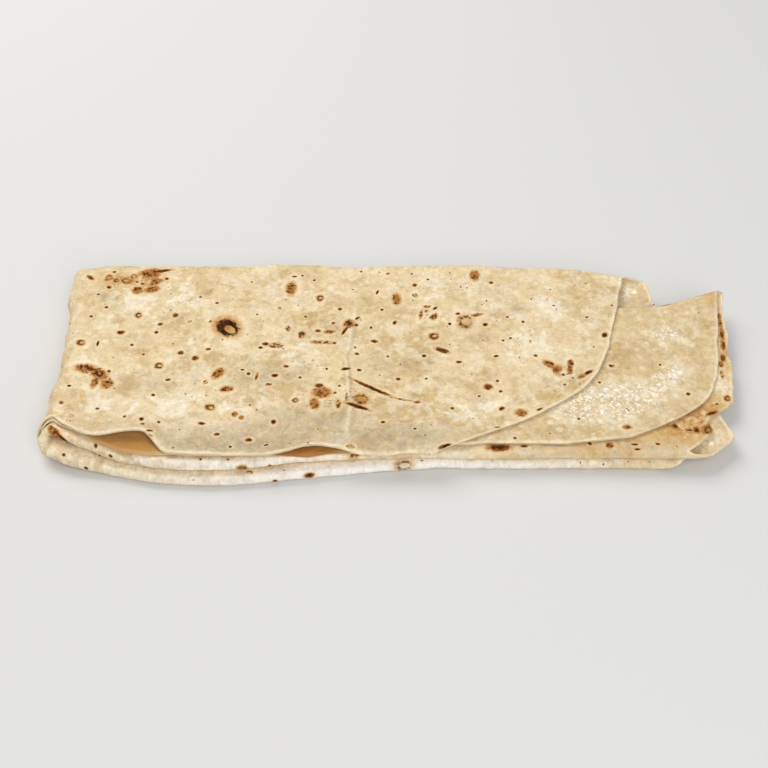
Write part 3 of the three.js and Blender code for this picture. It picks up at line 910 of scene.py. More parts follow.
# u, v, length, width and turn of each mark, and its kind
MARK_ROWS = {
    Face.TOP: (
        # toasted corner at the back left
        (7.6, 111.7, 3.8, 2.0, -42, SPOT),
        (18.4, 116.7, 1.5, 1.5, 0, DOT),
        (20.4, 109.8, 2.4, 2.4, 0, RING),
        (16.4, 111.9, 3.2, 4.6, 0, TRACE),
        (25.1, 110.2, 4.6, 4.0, 0, TRACE),
        (28.2, 113.8, 3.0, 3.4, 0, TRACE),
        (30.4, 109.6, 1.4, 1.3, 0, DOT),
        (33.3, 108.3, 1.7, 1.5, 0, DOT),
        (36.0, 116.4, 8.4, 4.8, 12, SCORCH),
        (41.5, 118.2, 9.0, 1.7, 10, STREAK),
        (39.0, 109.7, 5.4, 4.4, 25, SCORCH),
        (38.4, 103.6, 5.4, 3.8, 20, SCORCH),
        (31.5, 103.3, 4.2, 4.8, 0, SCORCH),
        (44.6, 112.2, 1.7, 1.7, 0, DOT),
        (17.6, 104.5, 2.0, 2.0, 0, SPOT),
        # left part of the top
        (34.0, 86.4, 3.0, 3.0, 0, RING),
        (51.8, 85.5, 2.6, 2.4, -25, SPOT),
        (45.1, 80.5, 2.3, 1.7, 0, SPOT),
        (43.8, 75.3, 1.8, 1.8, 0, SPOT),
        (27.1, 75.2, 3.3, 2.5, 15, SPOT),
        (12.2, 84.4, 1.6, 1.4, 0, DOT),
        (70.9, 92.6, 1.6, 1.4, 0, DOT),
        (10.1, 66.8, 3.6, 3.6, 10, RING),
        (17.8, 66.8, 3.6, 1.1, 88, DOT),
        (77.1, 76.6, 11.8, 9.2, -42, BURNT_RING),
        (14.6, 50.3, 8.0, 4.8, -6, SCORCH),
        (21.4, 47.0, 9.0, 5.2, -42, SCORCH),
        (25.8, 40.8, 5.0, 5.4, 0, SCORCH),
        (20.4, 41.6, 6.8, 2.8, 82, BLUSH),
        (25.6, 48.8, 1.5, 1.8, 0, DOT),
        (9.4, 38.9, 1.7, 1.4, 0, DOT),
        (47.6, 52.9, 3.5, 4.0, 0, RING),
        (56.8, 60.9, 2.5, 2.4, 0, SPOT),
        (63.9, 57.3, 2.8, 2.6, 0, SPOT),
        (69.4, 62.8, 2.1, 1.5, 0, SPOT),
        (75.2, 47.7, 6.0, 4.0, 52, SCORCH),
        (79.7, 38.1, 5.0, 3.4, 8, SCORCH),
        (73.3, 27.2, 4.3, 3.6, -35, RING),
        (84.5, 23.1, 2.4, 2.8, 0, SCORCH),
        (87.6, 20.9, 2.1, 2.1, 0, SCORCH),
        (70.4, 17.9, 2.9, 1.6, -8, SPOT),
        (77.6, 12.1, 2.4, 1.5, 0, SPOT),
        (91.7, 8.4, 2.9, 2.0, 0, SPOT),
        (37.0, 19.1, 1.5, 1.6, 0, DOT),
        (44.6, 17.6, 1.9, 2.2, 0, SPOT),
        (45.5, 14.4, 1.9, 1.2, 0, DOT),
        (51.9, 17.3, 1.4, 1.4, 0, DOT),
        (48.8, 11.1, 2.6, 1.1, 15, SPOT),
        (49.1, 8.3, 2.6, 1.2, -10, BLUSH),
        (88.9, 47.5, 1.7, 1.8, 0, DOT),
        (86.0, 49.8, 1.8, 1.2, 0, DOT),
        # middle of the top, at the back
        (105.4, 104.6, 4.2, 8.8, 0, SCORCH),
        (106.5, 114.0, 2.3, 1.2, 0, SPOT),
        (110.3, 114.4, 1.5, 1.3, 0, DOT),
        (119.5, 97.3, 3.1, 4.4, 0, RING),
        (129.3, 89.4, 1.9, 1.8, 0, DOT),
        (126.3, 80.4, 1.6, 1.6, 0, SPOT),
        (133.8, 80.0, 4.8, 4.2, 45, SCORCH),
        (131.8, 75.6, 5.6, 1.4, 62, STREAK),
        (137.2, 79.4, 1.7, 1.6, 0, SPOT),
        (137.6, 83.6, 2.8, 1.2, 40, DOT),
        (147.0, 102.2, 3.5, 1.1, 73, DOT),
        (156.1, 96.8, 3.6, 7.2, 0, SCORCH),
        (165.0, 107.8, 2.0, 2.2, 0, SPOT),
        (171.5, 111.9, 1.4, 1.2, 0, DOT),
        (149.2, 89.2, 1.5, 1.5, 0, DOT),
        (170.5, 91.3, 3.2, 1.7, 0, BLUSH),
        (174.2, 89.8, 2.6, 1.4, 35, SPOT),
        (173.4, 85.2, 3.4, 4.2, 0, SCORCH),
        (167.6, 86.0, 5.2, 1.5, 80, BLUSH),
        (170.6, 87.9, 2.6, 2.0, 0, BLUSH),
        (173.3, 72.5, 4.3, 4.2, 20, RING),
        (145.7, 69.5, 2.9, 1.8, 0, SPOT),
        (119.3, 75.6, 2.3, 1.8, 0, SPOT),
        (124.8, 75.3, 4.6, 2.6, 0, BLUSH),
        (112.0, 73.4, 3.6, 4.4, 0, FLECKS),
        (105.2, 77.2, 2.4, 3.0, 0, FLECKS),
        (121.2, 68.3, 11.0, 2.6, -4, FLECKS),
        (127.2, 67.5, 1.5, 1.4, 0, DOT),
        (95.3, 66.7, 2.8, 1.9, 0, SPOT),
        (93.2, 64.3, 1.9, 1.6, 0, DOT),
        (99.8, 66.0, 6.0, 3.4, 0, FLECKS),
        # middle of the top, at the front
        (105.5, 52.4, 2.4, 1.7, 0, SPOT),
        (100.8, 46.4, 2.8, 2.0, 0, SPOT),
        (98.4, 40.8, 2.6, 1.5, 0, BLUSH),
        (92.7, 45.9, 4.6, 1.2, 84, BLUSH),
        (121.0, 40.1, 3.6, 2.4, 0, SPOT),
        (122.6, 36.0, 7.0, 5.4, -15, BLUSH),
        (119.4, 28.9, 3.8, 5.6, 10, BLUSH),
        (110.7, 30.9, 2.6, 2.6, 0, RING),
        (101.9, 18.3, 2.0, 2.4, 0, SPOT),
        (124.1, 50.8, 1.2, 1.2, 0, DOT),
        (132.8, 50.7, 4.0, 1.6, 15, STREAK),
        (138.9, 50.4, 2.0, 1.4, 0, SPOT),
        (144.6, 39.2, 19.5, 1.8, -30, STREAK),
        (159.6, 31.5, 13.0, 1.0, -15, FLECKS),
        (164.9, 29.9, 2.8, 1.6, -10, BLUSH),
        (133.5, 32.8, 5.0, 1.1, 88, STREAK),
        (138.4, 27.6, 10.4, 2.0, -22, STREAK),
        (139.8, 32.2, 6.2, 6.0, -10, FADED_RING),
        (128.3, 35.6, 1.4, 1.3, 0, DOT),
        (130.2, 40.0, 1.3, 1.3, 0, DOT),
        (129.8, 29.0, 2.4, 5.0, 0, FLECKS),
        (156.5, 44.8, 2.1, 1.6, 0, SPOT),
        (151.9, 59.4, 1.3, 1.3, 0, DOT),
        (168.6, 59.5, 2.0, 2.0, 0, DOT),
        (177.0, 63.0, 6.6, 2.8, -28, STREAK),
        (184.2, 55.1, 2.5, 1.6, 0, SPOT),
        (169.2, 44.6, 1.3, 1.2, 0, DOT),
        (180.2, 25.9, 1.7, 1.6, 0, DOT),
        (149.8, 18.3, 1.9, 1.3, 0, SPOT),
        (135.7, 3.0, 3.0, 2.0, 0, FLECKS),
        (176.2, 3.2, 5.2, 2.0, 22, STREAK),
        (99.5, 4.9, 2.2, 1.1, 25, SPOT),
        # right part of the top
        (196.7, 39.1, 3.6, 3.2, 0, SPOT),
        (201.1, 42.8, 1.6, 1.4, 0, DOT),
        (202.2, 36.4, 1.6, 1.4, 0, DOT),
        (192.4, 33.4, 1.3, 1.2, 0, DOT),
        (202.1, 26.2, 2.6, 1.8, 35, SPOT),
        (210.5, 23.9, 4.6, 3.8, 0, SCORCH),
        (218.9, 26.1, 3.2, 1.1, 30, STREAK),
        (199.4, 15.1, 2.4, 0.9, 10, DOT),
        (188.2, 81.0, 6.6, 8.0, 10, FADED_RING),
        (185.0, 86.3, 1.9, 1.6, 0, SPOT),
        (194.0, 85.0, 4.8, 1.8, 8, BLUSH),
        (181.0, 80.1, 1.6, 1.5, 0, DOT),
        (197.5, 78.9, 2.2, 2.0, 0, SPOT),
        (208.1, 83.3, 1.3, 1.2, 0, DOT),
        (215.3, 80.1, 1.5, 1.6, 0, DOT),
        (208.8, 69.9, 1.3, 1.2, 0, DOT),
        (205.3, 68.6, 1.3, 1.2, 0, DOT),
        (225.3, 53.3, 5.6, 3.2, -38, SCORCH),
        (228.9, 49.4, 4.2, 5.2, 0, BLUSH),
        (231.2, 46.8, 1.4, 1.4, 0, DOT),
        (235.2, 54.2, 2.4, 4.0, 0, SCORCH),
        (234.5, 50.6, 6.0, 2.0, 90, BLUSH),
        (234.3, 47.2, 1.6, 2.2, 0, SPOT),
        (242.6, 48.2, 4.8, 1.9, 38, STREAK),
        (238.8, 45.8, 3.8, 2.6, 20, BLUSH),
        (253.0, 73.3, 3.4, 2.4, 62, STREAK),
        (194.1, 114.4, 3.6, 6.5, 0, BLUSH),
        (231.2, 40.6, 1.4, 1.3, 0, DOT),
    ),
    Face.INNER_TOP: (
        (256.1, 15.8, 3.4, 2.8, 6, SCORCH),
        (247.3, 43.4, 1.4, 1.3, 0, DOT),
        (235.7, 21.3, 1.3, 1.2, 0, DOT),
        (286.4, 37.2, 1.9, 2.0, 0, DOT),
    ),
    Face.SHELF: (
        (199.8, 5.2, 8.8, 3.4, 2, SPOT),
        (210.7, 6.3, 2.6, 1.4, 0, SPOT),
        (247.5, 6.2, 2.8, 2.6, 0, SCORCH),
        (258.4, 6.6, 2.6, 1.0, 0, STREAK),
        (259.2, 3.9, 2.4, 1.0, 0, STREAK),
        (268.4, 7.0, 1.8, 1.3, 0, DOT),
        (277.8, 18.6, 2.4, 2.4, 0, SPOT),
        (284.5, 27.4, 2.3, 2.6, 0, SPOT),
        (292.0, 33.6, 1.9, 2.2, 0, SPOT),
        (295.6, 27.1, 5.2, 1.9, 22, STREAK),
        (304.0, 36.1, 2.4, 3.2, 0, RING),
        (298.9, 32.8, 1.3, 1.3, 0, DOT),
        (287.0, 16.6, 2.2, 3.2, 0, SPOT),
        (283.8, 16.4, 2.4, 1.0, 0, STREAK),
        (291.9, 16.8, 3.4, 5.2, -10, RING),
        (308.6, 84.0, 7.0, 2.0, 88, FLECKS),
        (308.6, 75.6, 6.0, 1.8, 86, FLECKS),
        (308.0, 69.6, 5.0, 1.8, 86, SCORCH),
        (306.6, 61.4, 2.0, 3.6, 0, SPOT),
        (305.0, 57.6, 2.2, 3.4, 0, SCORCH),
        (304.4, 51.0, 5.0, 1.6, 88, FLECKS),
    ),
    Face.UPPER_ROLL: (
        (7.4, 1.4, 6.0, 2.8, -34, SCORCH),
        (12.6, -0.4, 10.0, 1.2, -24, STREAK),
        (89.4, -0.6, 3.8, 2.2, 0, SCORCH),
        (33.0, 0.6, 1.6, 1.2, 0, DOT),
    ),
    Face.LOWER_ROLL: (
        (158.6, 1.6, 6.8, 4.0, 0, FADED_RING),
        (118.0, 0.8, 3.8, 1.9, 4, SPOT),
        (103.5, -0.4, 2.2, 1.6, 0, DOT),
        (22.0, 0.4, 1.8, 1.4, 0, DOT),
    ),
}
MARKS = [Mark(face, *row) for face, rows in MARK_ROWS.items() for row in rows]

# u, v, length, width and turn of each patch, and its strength
PATCH_ROWS = {
    (Face.TOP, Tint.MOIST): (
        (12.4, 96.5, 20, 11, 0, 0.8),
        (37.5, 65.0, 30, 12, 0, 0.7),
        (76.0, 88.0, 40, 44, 0, 0.55),
        (113.0, 84.0, 30, 22, 0, 0.6),
        (157.0, 65.0, 50, 22, 0, 0.8),
        (203.0, 68.0, 40, 22, -20, 0.5),
        (242.0, 86.0, 20, 34, 20, 0.8),
        (187.0, 16.0, 46, 16, 10, 1.0),
        (225.0, 38.0, 28, 16, 35, 0.7),
        (113.0, 24.0, 28, 18, 0, 0.6),
        (12.0, 25.0, 14, 18, 0, 0.5),
        (150.0, 32.0, 54, 34, -20, 1.15),
        (112.0, 40.0, 40, 22, 0, 0.8),
        (45.0, 38.0, 28, 10, 0, 0.4),
    ),
    (Face.TOP, Tint.FLOUR): (
        (46.0, 28.0, 50, 18, 0, 0.62),
        (11.5, 54.6, 18, 12, 0, 0.7),
        (84.0, 31.0, 24, 14, 0, 0.6),
        (225.0, 66.0, 14, 40, 40, 0.7),
        (233.0, 90.0, 16, 26, 40, 0.8),
        (191.5, 27.2, 28, 14, 0, 0.9),
        (208.0, 56.0, 20, 12, 0, 0.6),
        (43.0, 96.5, 34, 24, 0, 0.8),
        (177.0, 103.0, 30, 16, 0, 0.4),
        (104.5, 62.4, 22, 18, 0, 0.4),
    ),
    # grey veils of painted shade: along the front band, where the top droops forward, and smaller ones
    # over the top
    (Face.TOP, Tint.BRUISE): (
        (15.1, 97.9, 9, 5, -20, 0.9),
        (54.3, 84.6, 6, 4, 0, 0.8),
        (190.1, 75.0, 9, 5, -20, 0.5),
        (88.0, 7.0, 112, 19, 0, 1.0),
        (152.0, 8.0, 60, 20, 0, 0.9),
        (112.0, 17.0, 70, 18, 8, 0.85),
        (96.0, 46.0, 34, 14, 0, 0.6),
        (47.0, 41.0, 30, 14, 0, 0.4),
        (157.0, 55.0, 40, 12, -12, 0.35),
        (213.0, 88.0, 9, 7, 0, 0.8),
        (193.0, 71.0, 12, 8, -20, 0.6),
        (34.0, 72.0, 20, 8, 0, 0.35),
    ),
    (Face.TOP, Tint.TOAST): (
        (23.5, 111.0, 27, 11, 0, 0.72),
        (37.0, 111.0, 16, 20, 0, 0.66),
        (120.6, 35.7, 10, 9, 0, 0.35),
        (139.0, 31.0, 11, 8, 0, 0.45),
        (232.0, 51.0, 14, 7, -20, 0.35),
        (76.0, 79.0, 14, 13, 0, 0.5),
        (195.3, 114.2, 5, 7, 0, 0.6),
    ),
    # flour on the inner side, and where these patches are strong, painted glints
    (Face.INNER_TOP, Tint.FLOUR): (
        (251.0, 31.5, 54, 24, 14, 1.1),
        (278.0, 47.0, 26, 17, 40, 0.85),
        (283.0, 75.0, 22, 14, 0, 0.75),
        (240.0, 12.0, 9, 4, 0, 0.8),
    ),
    (Face.INNER_TOP, Tint.MOIST): (
        (298.0, 68.0, 14, 46, 0, 0.8),
        (226.0, 13.0, 64, 10, 4, 0.8),
        (262.0, 86.0, 40, 12, 0, 0.6),
        (262.0, 57.0, 40, 14, 0, 0.5),
        # painted shade inside the pocket under the raised lip
        (38.0, 4.0, 64, 28, 0, 1.20),
    ),
    (Face.INNER_TOP, Tint.TOAST): (
        (307.0, 98.0, 7, 20, 0, 0.45),
        # brown painted shade inside the pocket under the raised lip and inside the side pocket
        (38.0, 5.0, 64, 26, 0, 0.68),
        (116.0, 1.0, 56, 14, 0, 0.85),
        (122.5, 0.6, 14, 5, 0, 1.0),
    ),
    (Face.SHELF, Tint.TOAST): (
        (286.0, 22.0, 50, 30, 20, 0.78),
        (248.0, 6.0, 110, 14, 0, 0.30),
        (308.0, 74.0, 5, 56, 0, 0.7),
        (292.3, 16.4, 8, 8, 0, 0.6),
        (199.0, 7.6, 13, 5, 0, 0.45),
    ),
    # painted shade along the front of the shelf
    (Face.SHELF, Tint.BRUISE): (
        (240.0, 6.0, 90, 12, 0, 0.50),
    ),
    (Face.SHELF, Tint.MOIST): (
        (250.0, 5.0, 80, 8, 0, 0.8),
    ),
    (Face.SHELF, Tint.FLOUR): (
        (303.0, 44.0, 8, 20, 0, 0.8),
    ),
    # flour on the flap's inner side, which also spreads painted glints
    (Face.FLAP, Tint.FLOUR): (
        (290.0, 12.0, 24, 18, 0, 0.6),
        (266.0, 108.0, 20, 14, 0, 0.7),
    ),
    # painted shade inside the pocket under the raised lip and inside the side pocket
    (Face.INNER_TOP, Tint.BRUISE): (
        (38.0, 4.0, 70, 32, 0, 1.50),
        (118.0, 1.0, 60, 18, 0, 1.50),
    ),
    (Face.UPPER_ROLL, Tint.TOAST): (
        (8.0, 1.4, 14, 7, -20, 0.45),
        (25.0, 1.0, 34, 5, -18, 0.35),
    ),
    (Face.UPPER_ROLL, Tint.FLOUR): (
        (90.0, 1.0, 190, 14, 0, 1.0),
    ),
    (Face.LOWER_ROLL, Tint.FLOUR): (
        (150.0, 1.0, 340, 20, 0, 1.1),
    ),
}
PATCHES = [Patch(*at, *row) for at, rows in PATCH_ROWS.items() for row in rows]

CREASES = (
    Crease(Face.TOP, 135.2, 76.0, 40, 4.6, 82),
    Crease(Face.TOP, 133.4, 46.0, 36, 3.4, 94),
    Crease(Face.TOP, 134.6, 20.0, 34, 4.4, 86),
)

# up to which draw a strewn mark is of a kind, and how many times larger such a mark is
STREWN = ((0.14, SPOT, 1.0), (0.24, FLECKS, 1.8), (0.72, DOT, 1.0))
STREWN_FAR = ((0.05, SCORCH, 4.6), (0.09, RING, 2.6)) + STREWN

FAR = 1e3  # room round a mark that has no neighbour, in millimetres
UNOWNED = 9.0  # spread from which a point belongs to no mark or crease


@dataclass(frozen=True)
class LaidMark:
    """A mark on the flat sheet: its place, the signs of its face, its length, width, turn and kind."""

    place: Array
    signs: Array
    length: float
    width: float
    turn: float
    kind: Char

    def room(self, others: list["LaidMark"]) -> float:
        """Free distance to the nearest of some other marks, beyond both their sizes."""
        gaps = (math.dist(self.place, o.place) - (self.length + o.length) / 2 for o in others)
        return min(gaps, default=FAR)


@dataclass
class GriddleMarks:
    """Everything that the griddle left on the sheet, as values on the points of both its sides."""

    sheet: FoldedSheet
    seed: int = 48
    spacings: tuple[float, float] = (25.0, 13.0)
    clearance: float = 6.5
    remoteness: float = 26.0
    sets: int = 3
    reach: float = 0.9
    margin: float = 4.0
    jitter: float = 0.8
    log_sizes: tuple[float, float] = (0.18, 0.28)
    roundness: tuple[float, float] = (0.45, 1.0)
    patch_edge: float = 1.2

    def local(self, item: Mark | Patch | Crease) -> Array:
        """Coordinates of every point in an item's own frame: length wise and width wise, in mm."""
        place, signs = self.sheet.locate(item.face, item.u, item.v)
        return self.turned((self.sheet.flat - place) * signs, item.turn)

    @staticmethod
    def turned(offsets: Array, turn: float) -> Array:
        """Offsets seen in a frame that is turned by an angle in degrees.

        Args:
            offsets: Steps on the flat sheet.
            turn: The angle.

        Returns:
            The same steps, length wise and width wise.
        """
        c, s = math.cos(math.radians(turn)), math.sin(math.radians(turn))
        return np.stack(
            [offsets[..., 0] * c + offsets[..., 1] * s, offsets[..., 1] * c - offsets[..., 0] * s],
            axis=-1,
        )

    def scattered(self, side: int, taken: list[Array]) -> list[LaidMark]:
        """Marks strewn over a side: one try in each cell of a grid, large ones far from named marks.

        Args:
            side: 0 or 1.
            taken: Places (s, t) that named marks already hold.

        Returns:
            The marks.
        """
        rng = np.random.default_rng(self.seed + side)
        flat = self.sheet.flat.reshape(-1, 2)
        spacing = self.spacings[side]
        low, high = flat.min(axis=0), flat.max(axis=0)
        axes = [np.arange(low[k], high[k], spacing) for k in (0, 1)]
        cells = np.stack(np.meshgrid(*axes), axis=-1).reshape(-1, 2)
        places = cells + rng.uniform(0.0, self.jitter * spacing, cells.shape)
        sizes = np.exp(rng.normal(*self.log_sizes, len(places)))
        shapes = rng.uniform(*self.roundness, len(places))
        turns = rng.uniform(-90.0, 90.0, len(places))
        draws = rng.uniform(0.0, 1.0, len(places))
        held = np.array(taken).reshape(-1, 2)
        marks = []
        for place, size, shape, turn, draw in zip(places, sizes, shapes, turns, draws):
            room = np.min(np.linalg.norm(held - place, axis=1), initial=FAR)
            kinds = STREWN_FAR if room > self.remoteness else STREWN
            kind, growth = next((kind[1:] for kind in kinds if draw < kind[0]), (None, 0.0))
            if kind and room > self.clearance:
                grown = size * growth
                marks.append(LaidMark(place, np.ones(2), grown, grown * shape, turn, kind))
        return marks

    def all_marks(self, side: int) -> list[LaidMark]:
        """The named and the strewn marks of a side.

        Args:
            side: 0 or 1.

        Returns:
            The marks.
        """
        marks = []
        for mark in MARKS:
            if mark.face.value[2] == side:
                place, signs = self.sheet.locate(mark.face, mark.u, mark.v)
                marks.append(LaidMark(place, signs, mark.length, mark.width, mark.turn, mark.kind))
        marks += self.scattered(side, [mark.place for mark in marks])
        log.info("side %d carries %d griddle marks", side, len(marks))
        return marks

    def sorted_out(self, marks: list[LaidMark]) -> list[list[LaidMark]]:
        """Deals marks out into sets in which close neighbours are kept apart.

        Each mark joins the set whose nearest mark is farthest away, beyond both their sizes.

        Args:
            marks: The marks of a side.

        Returns:
            The sets, each a list of marks.
        """
        sets = [[] for _ in range(self.sets)]
        for mark in marks:
            rooms = [mark.room(chosen) for chosen in sets]
            sets[int(np.argmax(rooms))].append(mark)
        return sets

    def mark_layers(self) -> list[tuple[Array, Array]]:
        """For each set of marks, the nearest mark of every point.

        Returns:
            For each set its local place in units of its half sizes, with a share that says whether
            it counts there, and its kind's four numbers, both as 2 sides x rows x columns x values.
        """
        shape = self.sheet.flat.shape[:2]
        layers = [(np.zeros((2, *shape, 3)), np.zeros((2, *shape, 4))) for _ in range(self.sets)]
        for side in (0, 1):
            for marks, (places, looks) in zip(self.sorted_out(self.all_marks(side)), layers):
                places[side], looks[side] = self.nearest(marks)
        return layers

    def nearest(self, marks: list[LaidMark]) -> tuple[Array, Array]:
        """The nearest of some marks for every point, with nothing on the line between two marks.

        Args:
            marks: One set of the marks of a side.

        Returns:
            Its local places and looks, both as rows x columns x values.
        """
        shape = self.sheet.flat.shape[:2]
        places, looks = np.zeros((*shape, 3)), np.zeros((*shape, 4))
        best, owner = np.full(shape, UNOWNED), np.full(shape, -1)
        for index, mark in enumerate(marks):
            offsets = (self.sheet.flat - mark.place) * mark.signs
            local = self.turned(offsets, mark.turn)
            size = np.array([mark.length, mark.width])
            spread = np.linalg.norm(local / (self.reach * size + self.margin), axis=-1)
            won = spread < best
            best[won], owner[won] = spread[won], index
            places[won, :2] = (local / size * 2)[won]
            looks[won] = mark.kind.value
        border = np.zeros(shape, bool)
        for axis in (0, 1):
            change = np.diff(owner, axis=axis) != 0
            for beside in ((1, 0), (0, 1)):
                border |= np.pad(change, [beside if k == axis else (0, 0) for k in (0, 1)])
        places[..., 2] = (best < 1.0) & ~border
        return places, looks

    def patch_layers(self) -> Array:
        """Strength of each soft tint on every point: 2 sides x rows x columns x 4.

        Returns:
            The strengths.
        """
        tints = np.zeros((2, *self.sheet.flat.shape[:2], 4))
        for patch in PATCHES:
            x, y = np.moveaxis(self.local(patch), -1, 0)
            spread = (2 * x / patch.length) ** 2 + (2 * y / patch.width) ** 2
            glow = patch.strength * np.exp(-(spread**self.patch_edge))
            channel = tints[patch.face.value[2]][..., patch.tint.value]
            np.maximum(channel, glow, out=channel)
        return tints

    def crease_layers(self) -> Array:
        """Local place in the nearest crease, in units of its half sizes, and whether it counts.

        Returns:
            2 sides x rows x columns x 3.
        """
        shape = self.sheet.flat.shape[:2]
        layers = np.zeros((2, *shape, 3))
        best = np.full((2, *shape), UNOWNED)
        for crease in CREASES:
            side = crease.face.value[2]
            x, y = np.moveaxis(self.local(crease), -1, 0)
            reaches = crease.length / 2 + self.margin, crease.width + self.margin
            spread = np.maximum(np.abs(x) / reaches[0], np.abs(y) / reaches[1])
            won = spread < best[side]
            best[side][won] = spread[won]
            row = np.stack([x / crease.length * 2, y / crease.width * 2, spread < 1.0], axis=-1)
            layers[side][won] = row[won]
        return layers


# ---------------------------------------------------------------- the bread's mesh


@dataclass
class Chapati:
    """The bread: the folded sheet with its thickness, rounded free edges and low relief."""

    fold: FoldMap = field(default_factory=FoldMap)
    rim_angles: tuple[float, ...] = (52.0, 18.0, -18.0, -52.0)
    rim_bulge: float = 0.42
    relief: float = 0.12
    relief_waves: tuple[float, ...] = (15.0, 11.0, 8.0)
    relief_bend: float = 2.5
    relief_seeds: tuple[int, int] = (3, 4)
    far_side: float = 40.0

    def build(self, finish: "GriddledCrust") -> bpy.types.Object:
        """Makes the mesh, gives it its layers and its material, and stands it for its CAD node.

        Args:
            finish: The crust's material.

        Returns:
            The finished object.
        """
        sheet = FoldedSheet(self.fold).build()
        marks = GriddleMarks(sheet)
        vertices = self.placed(self.skin(sheet))
        faces = self.faces(sheet)
        mesh = bpy.data.meshes.new("folded_chapati")
        mesh.from_pydata(vertices * MM, [], faces.tolist())
        mesh.polygons.foreach_set("use_smooth", np.ones(len(mesh.polygons), bool))
        self.store(mesh, "sheet", "FLOAT_VECTOR", self.sheet_layer(sheet))
        for number, (places, looks) in enumerate(marks.mark_layers()):
            self.store(mesh, f"mark_{number}", "FLOAT_VECTOR", self.spread(sheet, places, blank=(2,)))
            self.store(mesh, f"look_{number}", "FLOAT_COLOR", self.spread(sheet, looks))
        self.store(mesh, "tint", "FLOAT_COLOR", self.spread(sheet, marks.patch_layers()))
        self.store(mesh, "crease", "FLOAT_VECTOR", self.spread(sheet, marks.crease_layers(), (2,)))
        self.store(mesh, "border", "FLOAT", self.spread(sheet, self.border_layer(sheet)))
        mesh.materials.append(finish.build())
        mesh.validate()
        mesh.update()
        bread = bpy.data.objects.new("folded_chapati", mesh)
        bpy.context.scene.collection.objects.link(bread)
        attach(bread, "root")
        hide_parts("chapati")
        log.info("%s: %d triangles", bread.name, sum(len(p.vertices) - 2 for p in mesh.polygons))
        return bread

    def border(self, sheet: FoldedSheet) -> tuple[Array, Array]:
        """Row and column numbers of the grid's border, once round with the sheet on the left.

        Args:
            sheet: The folded sheet.

        Returns:
            Row numbers and column numbers.
        """
        rows, columns = sheet.points.shape[:2]
        down, right = np.arange(rows), np.arange(columns)
        i = np.concatenate([0 * right, down[1:], 0 * right[1:] + rows - 1, down[-2:0:-1]])
        j = np.concatenate([right, 0 * down[1:] + columns - 1, right[-2::-1], 0 * down[-2:0:-1]])
        return i, j

    def skin(self, sheet: FoldedSheet) -> Array:
        """All points: the near face, the far face, and rings round the free edges.

        A face lies half a thickness off the middle surface, plus its low relief. A ring lies at
        an angle on the round of the edge: normal x sin + outward x cos, on half a thickness.

        Args:
            sheet: The folded sheet.

        Returns:
            Points x 3, in millimetres.
        """
        half = self.fold.thickness / 2
        lifts = [half + self.low_relief(sheet, seed)[..., None] for seed in self.relief_seeds]
        near, far = sheet.points + sheet.normals * lifts[0], sheet.points - sheet.normals * lifts[1]
        i, j = self.border(sheet)
        last_row, last_column = np.array(sheet.points.shape[:2]) - 1
        across, along = (i == last_row) * 1.0 - (i == 0), (j == last_column) * 1.0 - (j == 0)
        outward = across[:, None] * sheet.across[i, j] + along[:, None] * sheet.along[i, j]
        outward = unit(outward) * self.rim_bulge
        angles = np.radians(self.rim_angles)[:, None, None]
        rings = sheet.points[i, j] + half * np.sin(angles) * sheet.normals[i, j]
        rings = rings + np.cos(angles) * outward
        return np.concatenate([near.reshape(-1, 3), far.reshape(-1, 3), rings.reshape(-1, 3)])

    def low_relief(self, sheet: FoldedSheet, seed: int) -> Array:
        """Blisters and dimples of a face: a sum of seeded products of two crossing sines.

        Args:
            sheet: The folded sheet.
            seed: Draws the turns and phases.

        Returns:
            Heights over the plain face.
        """
        s, t = np.moveaxis(sheet.flat, -1, 0)
        rng = np.random.default_rng(seed)
        total = np.zeros(s.shape)
        for wave in self.relief_waves:
            angle, first, second = rng.uniform(0.0, 2.0 * math.pi, 3)
            c, d, bend = math.cos(angle), math.sin(angle), self.relief_bend
            along = s * c + t * d + bend * np.sin(t / wave + first)
            across = t * c - s * d + bend * np.sin(s / wave + second)
            total += np.sin(2 * math.pi * along / wave) * np.sin(2 * math.pi * across / wave + first)
        return self.relief * total

    def placed(self, points: Array) -> Array:
        """Moves the packet onto its CAD node: their boxes share a centre and a lowest level.

        Args:
            points: Points x 3, in millimetres.

        Returns:
            The moved points.
        """
        low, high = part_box("chapati")
        middle = [(low[k] + high[k]) / 2 / MM for k in (0, 1)]
        centre = (points.min(axis=0) + points.max(axis=0)) / 2
        floor = low[2] / MM - points[:, 2].min()
        return points + np.array([middle[0] - centre[0], middle[1] - centre[1], floor])

    def faces(self, sheet: FoldedSheet) -> Array:
        """Quads of the two faces and of the rim, all turned outwards.

        Args:
            sheet: The folded sheet.

        Returns:
            Point numbers, faces x 4.
        """
        rows, columns = sheet.points.shape[:2]
        count = rows * columns
        index = np.arange(count).reshape(rows, columns)
        a, b = index[:-1, :-1], index[:-1, 1:]
        c, d = index[1:, 1:], index[1:, :-1]
        near = np.stack([a, b, c, d], axis=-1).reshape(-1, 4)
        far = near[:, ::-1] + count
        edge = index[self.border(sheet)]
        rings = 2 * count + np.arange(len(self.rim_angles) * len(edge)).reshape(-1, len(edge))
        levels = np.vstack([edge, rings, edge + count])
        after = np.roll(levels, -1, axis=1)
        rim = np.stack([levels[:-1], levels[1:], after[1:], after[:-1]], axis=-1).reshape(-1, 4)
        return np.concatenate([near, far, rim])

